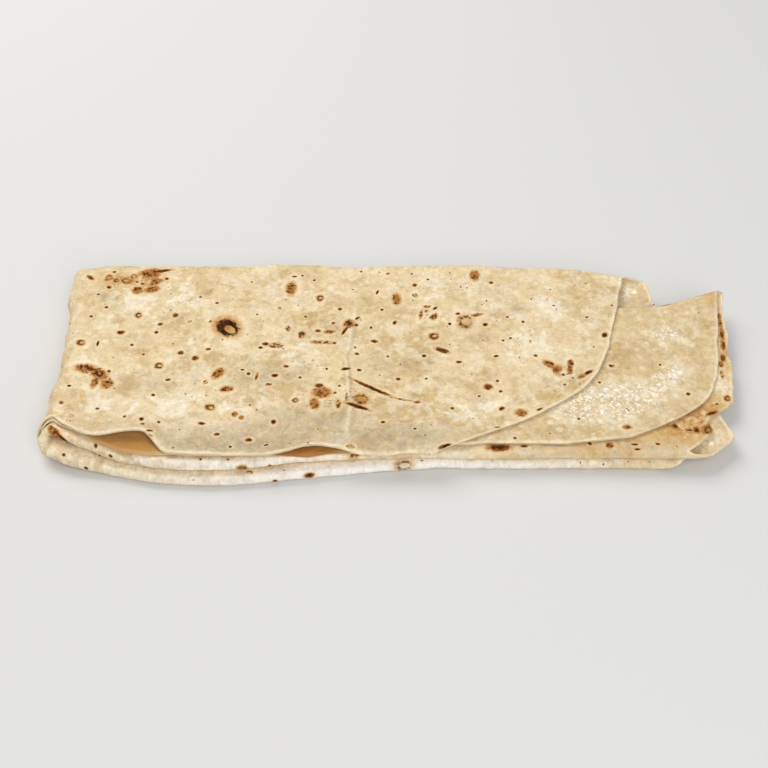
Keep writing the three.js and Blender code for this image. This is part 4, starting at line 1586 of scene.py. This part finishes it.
    def spread(self, sheet: FoldedSheet, layers: Array, blank: tuple = ()) -> Array:
        """Values of the two sides, and between them on the rings, where blank channels are 0.

        Args:
            sheet: The folded sheet.
            layers: Values, 2 sides x rows x columns x channels.
            blank: Channels that are 0 on the rings.

        Returns:
            Values, points x channels.
        """
        i, j = self.border(sheet)
        width = layers.shape[-1]
        shares = (1.0 - np.sin(np.radians(self.rim_angles)))[:, None, None] / 2
        rings = lerp(layers[0][i, j], layers[1][i, j], shares)
        for channel in blank:
            rings[..., channel] = 0.0
        parts = [layers[0].reshape(-1, width), layers[1].reshape(-1, width), rings.reshape(-1, width)]
        return np.concatenate(parts)

    def sheet_layer(self, sheet: FoldedSheet) -> Array:
        """Flat coordinates (s, t) with the side as a third one, so patterns differ on the sides.

        Args:
            sheet: The folded sheet.

        Returns:
            Values, points x 3.
        """
        ones = np.ones((*sheet.flat.shape[:2], 1))
        sides = [np.concatenate([sheet.flat, ones * far], axis=-1) for far in (0.0, self.far_side)]
        return self.spread(sheet, np.stack(sides))

    def border_layer(self, sheet: FoldedSheet) -> Array:
        """Distance of every point from the nearest free edge, on the flat sheet, in millimetres.

        Args:
            sheet: The folded sheet.

        Returns:
            Distances, 2 sides x rows x columns x 1.
        """
        s, t = np.moveaxis(sheet.flat, -1, 0)
        along = np.minimum(np.abs(s - s[:, :1]), np.abs(s - s[:, -1:]))
        across = np.minimum(np.abs(t - t[:1]), np.abs(t - t[-1:]))
        return np.repeat(np.minimum(along, across)[None, ..., None], 2, axis=0)

    @staticmethod
    def store(mesh: bpy.types.Mesh, name: str, kind: str, values: Array) -> None:
        """Puts one row of values for each point into a named layer of the mesh.

        Args:
            mesh: The mesh.
            name: Name of the layer.
            kind: FLOAT, FLOAT_COLOR or FLOAT_VECTOR.
            values: Values, points x channels.
        """
        layer = mesh.attributes.new(name, kind, "POINT")
        channel = {"FLOAT": "value", "FLOAT_COLOR": "color", "FLOAT_VECTOR": "vector"}[kind]
        layer.data.foreach_set(channel, np.ascontiguousarray(values, np.float32).ravel())


# ---------------------------------------------------------------- the crust's material


@dataclass(frozen=True)
class Value:
    """A number, vector or colour in a shader tree. Plain arithmetic adds the maths nodes for it."""

    bench: "Bench"
    socket: bpy.types.NodeSocket

    def __add__(self, other: "Value | float") -> "Value":
        """The sum of two values."""
        return self.bench.math("ADD", self, other)

    def __sub__(self, other: "Value | float") -> "Value":
        """This value less another."""
        return self.bench.math("SUBTRACT", self, other)

    def __rsub__(self, other: float) -> "Value":
        """A plain number less this value."""
        return self.bench.math("SUBTRACT", other, self)

    def __mul__(self, other: "Value | float") -> "Value":
        """The product of two values."""
        return self.bench.math("MULTIPLY", self, other)

    def __abs__(self) -> "Value":
        """The value without its sign."""
        return self.bench.math("ABSOLUTE", self)

    def clamped(self) -> "Value":
        """The same value, held between 0 and 1 by the node that makes it."""
        self.socket.node.use_clamp = True
        return self

    def step(self, low: float, high: float) -> "Value":
        """A smooth step from 0 at low to 1 at high; it falls where high is below low.

        Args:
            low: Where it is 0.
            high: Where it is 1.

        Returns:
            The stepped value.
        """
        ends = {"From Min": min(low, high), "From Max": max(low, high)}
        ends |= {"To Min": float(low > high), "To Max": float(low < high)}
        inputs = {"Value": self} | ends
        return self.bench.value("MapRange", inputs, "Result", interpolation_type="SMOOTHSTEP")


class Bench:
    """Lays out shader nodes in one tree. An input may get a Value, a plain number or a colour."""

    def __init__(self, tree: bpy.types.NodeTree) -> None:
        """Keeps the tree."""
        self.tree = tree

    def feed(self, socket: bpy.types.NodeSocket, value: Value | float | tuple) -> None:
        """Links a value to an input, or sets the input's own value.

        Args:
            socket: The input.
            value: What it gets.
        """
        if isinstance(value, Value):
            self.tree.links.new(value.socket, socket)
        else:
            socket.default_value = value

    def node(self, kind: str, inputs: dict, **settings) -> bpy.types.Node:
        """Adds a node, sets its properties and feeds its inputs.

        Args:
            kind: Its type, without the words Shader and Node.
            inputs: What each input gets, by its name or number.
            settings: Its properties, by name.

        Returns:
            The node.
        """
        made = self.tree.nodes.new(f"ShaderNode{kind}")
        for name, setting in settings.items():
            setattr(made, name, setting)
        for name, value in inputs.items():
            self.feed(made.inputs[name], value)
        return made

    def value(self, kind: str, inputs: dict, output: int | str = 0, **settings) -> Value:
        """Adds a node as node() does, and gives one of its outputs."""
        return Value(self, self.node(kind, inputs, **settings).outputs[output])

    def math(self, operation: str, first: Value | float, second: Value | float = 0.0) -> Value:
        """One arithmetic step on two values."""
        return self.value("Math", {0: first, 1: second}, operation=operation)

    def mix(self, share: Value, first: Value | tuple, second: Value | tuple) -> Value:
        """A colour that is a share of the way from the first to the second."""
        inputs = {"Factor": share, 6: first, 7: second}
        return self.value("Mix", inputs, 2, data_type="RGBA", clamp_factor=True)

    def noise(
        self, place: Value, size: float, detail: float = 3.0, rough: float = 0.55, warp: float = 0.0
    ) -> Value:
        """Noise whose features measure about a size in millimetres.

        Args:
            place: Where it is read.
            size: Size of its features.
            detail: How many finer layers it has.
            rough: How much of each layer the next one keeps.
            warp: How far it is distorted.

        Returns:
            Values about 0.5.
        """
        inputs = {"Vector": place, "Scale": 1.0 / size}
        inputs |= {"Detail": detail, "Roughness": rough, "Distortion": warp}
        return self.value("TexNoise", inputs, "Fac")

    def cells(self, place: Value, size: float) -> tuple[Value, Value]:
        """Scattered cells a size apart: the distance from each one's point, and its own colour."""
        made = self.node("TexVoronoi", {"Vector": place, "Scale": 1.0 / size})
        return Value(self, made.outputs["Distance"]), Value(self, made.outputs["Color"])

    def layer(self, name: str, output: str) -> Value:
        """Reads a named layer of the mesh: its Vector, Color, Alpha or Fac."""
        return self.value("Attribute", {}, output, attribute_type="GEOMETRY", attribute_name=name)

    def split(self, whole: Value, kind: str = "XYZ") -> list[Value]:
        """The three numbers of a vector, or with kind Color the channels of a colour."""
        made = self.node(f"Separate{kind}", {0: whole})
        return [Value(self, output) for output in made.outputs]

    def place(self, group: "Group", **inputs) -> dict[str, Value]:
        """Places a node group, feeds its inputs by name and gives its outputs by name.

        Args:
            group: The group.
            inputs: What each input gets.

        Returns:
            The outputs.
        """
        made = self.node("Group", {}, node_tree=group.tree)
        for name, value in inputs.items():
            self.feed(made.inputs[name], value)
        return {output.name: Value(self, output) for output in made.outputs}


class Group(Bench):
    """A node group: given holds its inputs by name, and give() feeds its outputs."""

    def __init__(self, name: str, inputs: dict[str, str], outputs: tuple[str, ...]) -> None:
        """Makes the group and its sockets.

        Args:
            name: Name of the group.
            inputs: Input names and their kinds, Float or Vector.
            outputs: Names of the outputs, all of them numbers.
        """
        super().__init__(bpy.data.node_groups.new(name, "ShaderNodeTree"))
        for side, sockets in (("INPUT", inputs), ("OUTPUT", dict.fromkeys(outputs, "Float"))):
            for label, kind in sockets.items():
                self.tree.interface.new_socket(label, in_out=side, socket_type=f"NodeSocket{kind}")
        source = self.tree.nodes.new("NodeGroupInput")
        self.given = {output.name: Value(self, output) for output in source.outputs}
        self.made = self.tree.nodes.new("NodeGroupOutput").inputs

    def give(self, **values) -> "Group":
        """Feeds the outputs by name.

        Args:
            values: What each output gets.

        Returns:
            The group itself.
        """
        for name, value in values.items():
            self.feed(self.made[name], value)
        return self


def blotch_group() -> Group:
    """Masks of the dough: moist patches, deeper shade, flour, round blisters, grain about 0.5, and the
    painted glints.

    Returns:
        The group.
    """
    outputs = ("Moist", "Shade", "Flour", "Blister", "Ring", "Grain", "Glint")
    group = Group("dough_blotches_and_glints", {"Sheet": "Vector"}, outputs)
    place = group.given["Sheet"]
    broad, small = (group.noise(place, size, 4.0, 0.6, 0.2) for size in (30.0, 6.5))
    warp = group.value("TexNoise", {"Vector": place, "Scale": 1.0 / 4.0}, "Color")
    bent = {0: warp, 1: (2.6, 2.6, 0.0), 2: place}
    distance, colour = group.cells(group.value("VectorMath", bent, operation="MULTIPLY_ADD"), 4.4)
    chance = group.split(colour, "Color")[0]
    pick = chance.step(0.30, 0.70) * group.noise(place, 17.0, 2.0).step(0.44, 0.56)
    fine, middle = group.noise(place, 1.3, 3.0, 0.65), group.noise(place, 3.4, 3.0, 0.6, 0.6)
    return group.give(
        Moist=(broad * 0.6 + small * 0.4).step(0.47, 0.56),
        Shade=group.noise(place, 13.0, 6.0, 0.70, 0.3).step(0.50, 0.62),
        Flour=group.noise(place, 11.0, 7.0, 0.70, 0.2).step(0.48, 0.57),
        Blister=distance.step(0.52, 0.20) * pick,
        Ring=abs(distance - 0.50).step(0.12, 0.0) * pick,
        Grain=fine * 0.4 + middle * 0.6,
        # painted highlight: white specks that stand for the glints of the moist inner side
        Glint=group.noise(place, 1.7, 2.0, 0.6, 0.8).step(0.52, 0.61),
    )


def scorch_group() -> Group:
    """One griddle mark in its own frame: char, its crumbly core, toasted halo, pale blister.

    Returns:
        The group.
    """
    inputs = {"Sheet": "Vector", "Mark": "Vector", "Ring": "Float", "Ragged": "Float", "Halo": "Float"}
    group = Group("griddle_scorch", inputs, ("Char", "Core", "Toast", "Pale", "Swelling"))
    sheet, ring, ragged, halo = (group.given[name] for name in ("Sheet", "Ring", "Ragged", "Halo"))
    x, y, counts = group.split(group.given["Mark"])
    away = group.math("SQRT", x * x + y * y)
    frayed = group.noise(sheet, 1.6, 3.0, 0.6) - 0.5
    radius = away + frayed * (ragged * 1.7 + 0.8)
    inner_x = x - (1.0 - ring) * 0.55
    inner_y = y * 1.3
    inner = group.math("SQRT", inner_x * inner_x + inner_y * inner_y) + frayed * 0.35
    ringed = ring.step(0.1, 0.3)
    hollow = (inner - ring).step(0.10, -0.08) * ringed
    speckle = group.noise(sheet, 1.5, 2.0, 0.55).step(0.48, 0.55)
    holes = 1.0 - group.math("MINIMUM", ragged * (1.0 - speckle) * 1.4, 1.0)
    glow = (away + frayed * 1.1).step(1.95, 0.60)
    return group.give(
        Char=radius.step(1.12, 0.84) * (1.0 - hollow) * holes * counts,
        Core=group.math("MAXIMUM", radius.step(0.85, 0.45), ringed) * counts,
        Toast=glow * (1.0 - hollow * 0.42) * halo * counts,
        Pale=away.step(2.7, 1.5) * away.step(0.6, 1.1) * counts,
        Swelling=away.step(1.7, 0.6) * counts,
    )


def speck_group() -> Group:
    """Tiny dark specks: dots in some cells of a fine scatter, in drifts.

    Returns:
        The group.
    """
    group = Group("griddle_specks", {"Sheet": "Vector", "Amount": "Float"}, ("Speck",))
    place = group.given["Sheet"]
    distance, colour = group.cells(place, 3.2)
    chance, size, _ = group.split(colour, "Color")
    drift = group.noise(place, 19.0, 2.0).step(0.40, 0.62)
    picked = group.math("LESS_THAN", chance, drift * group.given["Amount"] * 0.42)
    dot = (distance - (size * 0.10 + 0.06)).step(0.03, -0.03)
    return group.give(Speck=dot * picked)


@dataclass(frozen=True)
class GriddledCrust:
    """The crust: pale dough, moist and floury patches, blisters and griddle marks, with painted shade,
    painted highlights and painted glints.
    """

    cream: tuple = (0.795, 0.615, 0.362, 1.0)
    moist: tuple = (0.665, 0.485, 0.235, 1.0)
    shade: tuple = (0.560, 0.385, 0.175, 1.0)
    flour: tuple = (0.905, 0.785, 0.590, 1.0)
    # pale cream of the blisters, also of the painted highlights on the edges and the creases
    blister_and_highlight: tuple = (0.950, 0.800, 0.560, 1.0)
    # near white: floury white on the rolls, and the colour of the painted glints on the inner side
    floury_white_and_painted_glint: tuple = (0.980, 0.930, 0.860, 1.0)
    # grey of the painted shade
    painted_shade_grey: tuple = (0.430, 0.335, 0.215, 1.0)
    # amber and brown of the toast, also of the painted shade inside the pockets
    amber: tuple = (0.610, 0.320, 0.065, 1.0)
    toast: tuple = (0.380, 0.110, 0.010, 1.0)
    brown: tuple = (0.150, 0.034, 0.001, 1.0)
    char: tuple = (0.016, 0.003, 0.0003, 1.0)
    # how far each mask turns the colour under it into its own
    moist_share: float = 0.95
    shade_share: float = 0.70
    unbaked_share: float = 0.30
    flour_share: float = 0.90
    blister_share: float = 0.85
    ring_share: float = 0.22
    painted_glint_share: float = 0.90
    painted_shade_share: float = 0.78
    edge_highlight_share: float = 0.66
    crease_highlight_share: float = 0.52
    pale_share: float = 0.42
    amber_share: float = 0.72
    toast_share: float = 0.75
    speck_share: float = 0.90
    char_share: float = 0.98
    # gloss, and the light that the dough lets through, with its depth in metres
    gloss: float = 0.06
    dull: float = 0.62
    through: float = 0.03
    through_tint: tuple = (1.0, 0.62, 0.32)
    through_depth: float = 0.0012
    # heights of the bump in millimetres, and its strength
    dimples: float = 0.42
    grain: float = 0.07
    pocks: float = 0.16
    swelling: float = 0.16
    char_pit: float = 0.10
    ridges: float = 1.20
    bump_strength: float = 0.85

    def build(self) -> bpy.types.Material:
        """Builds the material: masks from the groups mix the colours, the gloss and the bump.

        Returns:
            The material.
        """
        material = bpy.data.materials.new("griddled_crust")
        material.use_nodes = True
        material.node_tree.nodes.clear()
        bench = Bench(material.node_tree)
        sheet = bench.layer("sheet", "Vector")
        moist_at, flour_and_glint_at, painted_shade_at = bench.split(bench.layer("tint", "Color"), "Color")
        blotch = bench.place(blotch_group(), Sheet=sheet)
        scorches = self.scorches(bench, sheet)
        baked = bench.split(sheet)[2].step(10.0, 30.0)
        speck = bench.place(speck_group(), Sheet=sheet, Amount=baked * 0.75 + 0.25)["Speck"]

        damp = (blotch["Moist"] * (moist_at + 0.55) + moist_at * 0.30).clamped()
        dust = (blotch["Flour"] * (flour_and_glint_at + 0.50) + flour_and_glint_at * 0.35).clamped() * (baked * 0.4 + 0.6)
        colour = self.dough(bench, blotch, damp, dust, flour_and_glint_at, baked)
        colour = self.painted_shade_veils(bench, colour, sheet, painted_shade_at)
        colour = self.edge_highlighted(bench, colour, sheet)
        # painted highlight on the crests of the pressed creases
        colour = bench.mix(self.creased(bench, sheet) * self.crease_highlight_share, colour, self.blister_and_highlight)
        colour = self.grained(bench, colour, blotch["Grain"])
        colour = self.toasted(bench, colour, sheet, painted_shade_at, scorches)
        for scorch in scorches:
            colour = self.charred(bench, colour, scorch)
        colour = bench.mix(speck * self.speck_share, colour, self.brown)
        char = self.highest(bench, scorches, "Char")
        inputs = {
            "Base Color": colour,
            "Roughness": self.roughness(damp, dust, char),
            "Specular IOR Level": self.gloss,
            "Subsurface Weight": self.through,
            "Subsurface Radius": self.through_tint,
            "Subsurface Scale": self.through_depth,
            "Normal": self.bump(bench, sheet, blotch, char, self.highest(bench, scorches, "Swelling")),
        }
        bench.node("OutputMaterial", {"Surface": bench.value("BsdfPrincipled", inputs, "BSDF")})
        return material

    def scorches(self, bench: Bench, sheet: Value) -> list[dict[str, Value]]:
        """One scorch group for each set of marks, with the paleness of its marks as Faint.

        Args:
            bench: Where the nodes are laid out.
            sheet: The flat coordinates.

        Returns:
            Outputs of each group by name.
        """
        group = scorch_group()
        made = []
        for number in range(GriddleMarks.sets):
            ring, ragged, faint = bench.split(bench.layer(f"look_{number}", "Color"), "Color")
            halo = bench.layer(f"look_{number}", "Alpha")
            mark = bench.layer(f"mark_{number}", "Vector")
            scorch = bench.place(group, Sheet=sheet, Mark=mark, Ring=ring, Ragged=ragged, Halo=halo)
            made.append(scorch | {"Faint": faint})
        return made

    @staticmethod
    def highest(bench: Bench, scorches: list[dict[str, Value]], output: str) -> Value:
        """The highest value of one output over all the sets of marks.

        Args:
            bench: Where the nodes are laid out.
            scorches: Outputs of the scorch groups.
            output: Name of the output.

        Returns:
            The value.
        """
        value = scorches[0][output]
        for scorch in scorches[1:]:
            value = bench.math("MAXIMUM", value, scorch[output])
        return value

    def dough(
        self, bench: Bench, blotch: dict, damp: Value, dust: Value, flour_and_glint_at: Value, baked: Value
    ) -> Value:
        """The unmarked dough: cream, moist and shaded, then blistered and floury, with painted glints
        on the inner side.

        Args:
            bench: Where the nodes are laid out.
            blotch: The masks of the dough.
            damp: How moist it is.
            dust: How floury it is.
            flour_and_glint_at: Strength of the floury patches; on the inner side it also spreads the
                painted glints.
            baked: 1 on the baked side, 0 on the other.

        Returns:
            The colour.
        """
        colour = bench.mix(damp * self.moist_share, self.cream, self.moist)
        shaded = blotch["Shade"] * (damp + 0.30) * (baked * 0.40 + 0.60)
        colour = bench.mix(shaded * self.shade_share, colour, self.shade)
        colour = bench.mix((1.0 - baked) * self.unbaked_share, colour, self.shade)
        colour = bench.mix(dust * self.flour_share, colour, self.flour)
        pocked = blotch["Blister"] * (flour_and_glint_at + 0.60).clamped()
        colour = bench.mix(pocked * self.blister_share, colour, self.blister_and_highlight)
        colour = bench.mix(blotch["Ring"] * self.ring_share, colour, self.shade)
        thick = ((flour_and_glint_at - 0.80) * 3.0).clamped()
        colour = bench.mix(thick * baked, colour, self.floury_white_and_painted_glint)
        # painted highlight: glints on the inner side, where the floury patches are strong
        painted_glint_spread = ((flour_and_glint_at - 0.30) * 2.2).clamped() * (1.0 - baked)
        return bench.mix(blotch["Glint"] * painted_glint_spread * self.painted_glint_share, colour, self.floury_white_and_painted_glint)

    def painted_shade_veils(self, bench: Bench, colour: Value, sheet: Value, painted_shade_at: Value) -> Value:
        """Painted shade: grey veils, broken up by a noise."""
        veil = painted_shade_at * bench.noise(sheet, 5.5, 5.0, 0.7).step(0.12, 0.62)
        return bench.mix(veil * self.painted_shade_share, colour, self.painted_shade_grey)

    def edge_highlighted(self, bench: Bench, colour: Value, sheet: Value) -> Value:
        """Painted highlight: a pale line along the free edges, where they catch the light.

        Args:
            bench: Where the nodes are laid out.
            colour: The colour so far.
            sheet: The flat coordinates.

        Returns:
            The colour.
        """
        wander = (bench.noise(sheet, 6.0, 3.0) - 0.5) * 1.6
        rim = (bench.layer("border", "Fac") + wander).step(2.0, 0.4)
        return bench.mix(rim * self.edge_highlight_share, colour, self.blister_and_highlight)

    def toasted(
        self, bench: Bench, colour: Value, sheet: Value, painted_shade_at: Value, scorches: list[dict]
    ) -> Value:
        """Pale blisters round the marks, then amber and brown toast on patches and in halos, and brown
        painted shade inside the pockets.

        Args:
            bench: Where the nodes are laid out.
            colour: The colour so far.
            sheet: The flat coordinates.
            painted_shade_at: Strength of the painted shade.
            scorches: Outputs of the scorch groups.

        Returns:
            The colour.
        """
        pale = self.highest(bench, scorches, "Pale")
        colour = bench.mix(pale * self.pale_share, colour, self.blister_and_highlight)
        # where the painted shade is strong, inside the pockets, the brown covers the patch fully
        pocket_shade_fill = ((painted_shade_at - 0.9) * 1.8).clamped()
        cloud = (bench.noise(sheet, 3.4, 5.0, 0.7, 0.2) + pocket_shade_fill).step(0.32, 0.58)
        toast_and_pocket_shade = bench.layer("tint", "Alpha") * 1.25 * cloud
        browning_and_pocket_shade = (toast_and_pocket_shade + self.highest(bench, scorches, "Toast")).clamped()
        colour = bench.mix(browning_and_pocket_shade.step(0.0, 0.7) * self.amber_share, colour, self.amber)
        return bench.mix(browning_and_pocket_shade.step(0.55, 1.1) * self.toast_share, colour, self.toast)

    def charred(self, bench: Bench, colour: Value, scorch: dict[str, Value]) -> Value:
        """The brown and black char of one set of marks.

        Args:
            bench: Where the nodes are laid out.
            colour: The colour so far.
            scorch: Outputs of one scorch group.

        Returns:
            The colour.
        """
        depth = (scorch["Core"] * (0.9 - scorch["Faint"])).clamped()
        burnt = bench.mix(depth, self.brown, self.char)
        share = scorch["Char"] * (self.char_share - scorch["Faint"] * 0.55)
        return bench.mix(share, colour, burnt)

    def grained(self, bench: Bench, colour: Value, grain: Value) -> Value:
        """The colour made a little darker and lighter by the fine grain."""
        return bench.value("HueSaturation", {"Color": colour, "Value": grain * 1.10 + 0.45})

    def creased(self, bench: Bench, sheet: Value) -> Value:
        """The soft ridges of the pressed creases, 1 on their crests.

        Args:
            bench: Where the nodes are laid out.
            sheet: The flat coordinates.

        Returns:
            The ridges.
        """
        x, y, counts = bench.split(bench.layer("crease", "Vector"))
        wander = (bench.noise(sheet, 12.0, 2.0) - 0.5) * 1.6
        return abs(y + wander).step(1.3, 0.0) * abs(x).step(1.0, 0.5) * counts

    def roughness(self, damp: Value, dust: Value, char: Value) -> Value:
        """Moist dough shines a little, flour and char don't."""
        return (self.dull - damp * 0.18 + dust * 0.12 + char * 0.25).clamped()

    def bump(self, bench: Bench, sheet: Value, blotch: dict, char: Value, swelling: Value) -> Value:
        """Height in millimetres: blisters, dimples, grain, swollen marks and the pressed creases.

        Args:
            bench: Where the nodes are laid out.
            sheet: The flat coordinates.
            blotch: The masks of the dough.
            char: Where there is char.
            swelling: Where marks are swollen.

        Returns:
            The normal.
        """
        height = bench.noise(sheet, 4.2, 4.0, 0.6, 0.4) * self.dimples
        height = height + blotch["Grain"] * self.grain + blotch["Blister"] * self.pocks
        height = height + swelling * self.swelling - char * self.char_pit
        height = height + self.creased(bench, sheet) * self.ridges
        inputs = {"Strength": self.bump_strength, "Distance": MM, "Height": height}
        return bench.value("Bump", inputs, "Normal")


# ---------------------------------------------------------------- floor, light and camera


@dataclass(frozen=True)
class Studio:
    """The plain pale floor, the soft lights and the camera."""

    floor_side: float = 6.0
    floor_colour: tuple = (0.74, 0.73, 0.71, 1.0)
    floor_roughness: float = 0.85
    camera_at: tuple = (-0.0055, -0.4254, 0.4355)
    camera_tilt: float = 46.0
    lens: float = 61.5
    film: float = 36.0
    sight: tuple[float, float] = (0.01, 50.0)
    key: tuple = ((-0.55, 0.75, 1.05), 0.9, 11.8, (1.0, 0.985, 0.96))
    fill: tuple = ((0.35, -1.0, 0.9), 1.2, 11.4, (0.97, 0.985, 1.0))
    ambient: float = 0.36
    ambient_colour: tuple = (0.95, 0.97, 1.0, 1.0)

    def build(self) -> None:
        """Makes the floor, the lights, the world and the camera."""
        self.floor()
        for name, (place, side, power, colour) in (("key", self.key), ("fill", self.fill)):
            self.area_light(f"{name}_light", place, side, power, colour)
        self.world()
        self.camera()
        bpy.context.scene.view_settings.view_transform = "Standard"
        log.info("studio is set")

    def floor(self) -> None:
        """A pale matt plane that the packet lies on."""
        side = self.floor_side / 2
        mesh = bpy.data.meshes.new("floor")
        corners = [(-side, -side, 0), (side, -side, 0), (side, side, 0), (-side, side, 0)]
        mesh.from_pydata(corners, [], [(0, 1, 2, 3)])
        material = bpy.data.materials.new("pale_floor")
        material.use_nodes = True
        shader = material.node_tree.nodes["Principled BSDF"]
        shader.inputs["Base Color"].default_value = self.floor_colour
        shader.inputs["Roughness"].default_value = self.floor_roughness
        mesh.materials.append(material)
        floor = bpy.data.objects.new("floor", mesh)
        bpy.context.scene.collection.objects.link(floor)

    def area_light(self, name: str, place: tuple, side: float, power: float, colour: tuple) -> None:
        """A square soft light that faces the packet.

        Args:
            name: Its name.
            place: Its centre, in metres.
            side: Its side, in metres.
            power: Its power, in watts.
            colour: Its colour.
        """
        data = bpy.data.lights.new(name, "AREA")
        data.size, data.energy, data.color = side, power, colour
        light = bpy.data.objects.new(name, data)
        light.location = place
        light.rotation_euler = (-Vector(place)).to_track_quat("-Z", "Y").to_euler()
        bpy.context.scene.collection.objects.link(light)

    def world(self) -> None:
        """An even pale surround."""
        world = bpy.data.worlds.new("studio")
        world.use_nodes = True
        world.node_tree.nodes["Background"].inputs["Color"].default_value = self.ambient_colour
        world.node_tree.nodes["Background"].inputs["Strength"].default_value = self.ambient
        bpy.context.scene.world = world

    def camera(self) -> None:
        """A camera in front of the packet that looks back and down on it."""
        data = bpy.data.cameras.new("camera")
        data.lens, data.sensor_width = self.lens, self.film
        data.clip_start, data.clip_end = self.sight
        camera = bpy.data.objects.new("camera", data)
        camera.location = self.camera_at
        camera.rotation_euler = (math.radians(90.0 - self.camera_tilt), 0.0, 0.0)
        bpy.context.scene.collection.objects.link(camera)
        bpy.context.scene.camera = camera


def main() -> None:
    """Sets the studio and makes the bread."""
    logging.basicConfig(level=logging.INFO, format="%(name)s: %(message)s")
    Studio().build()
    Chapati().build(GriddledCrust())


if __name__ == "__main__":
    main()
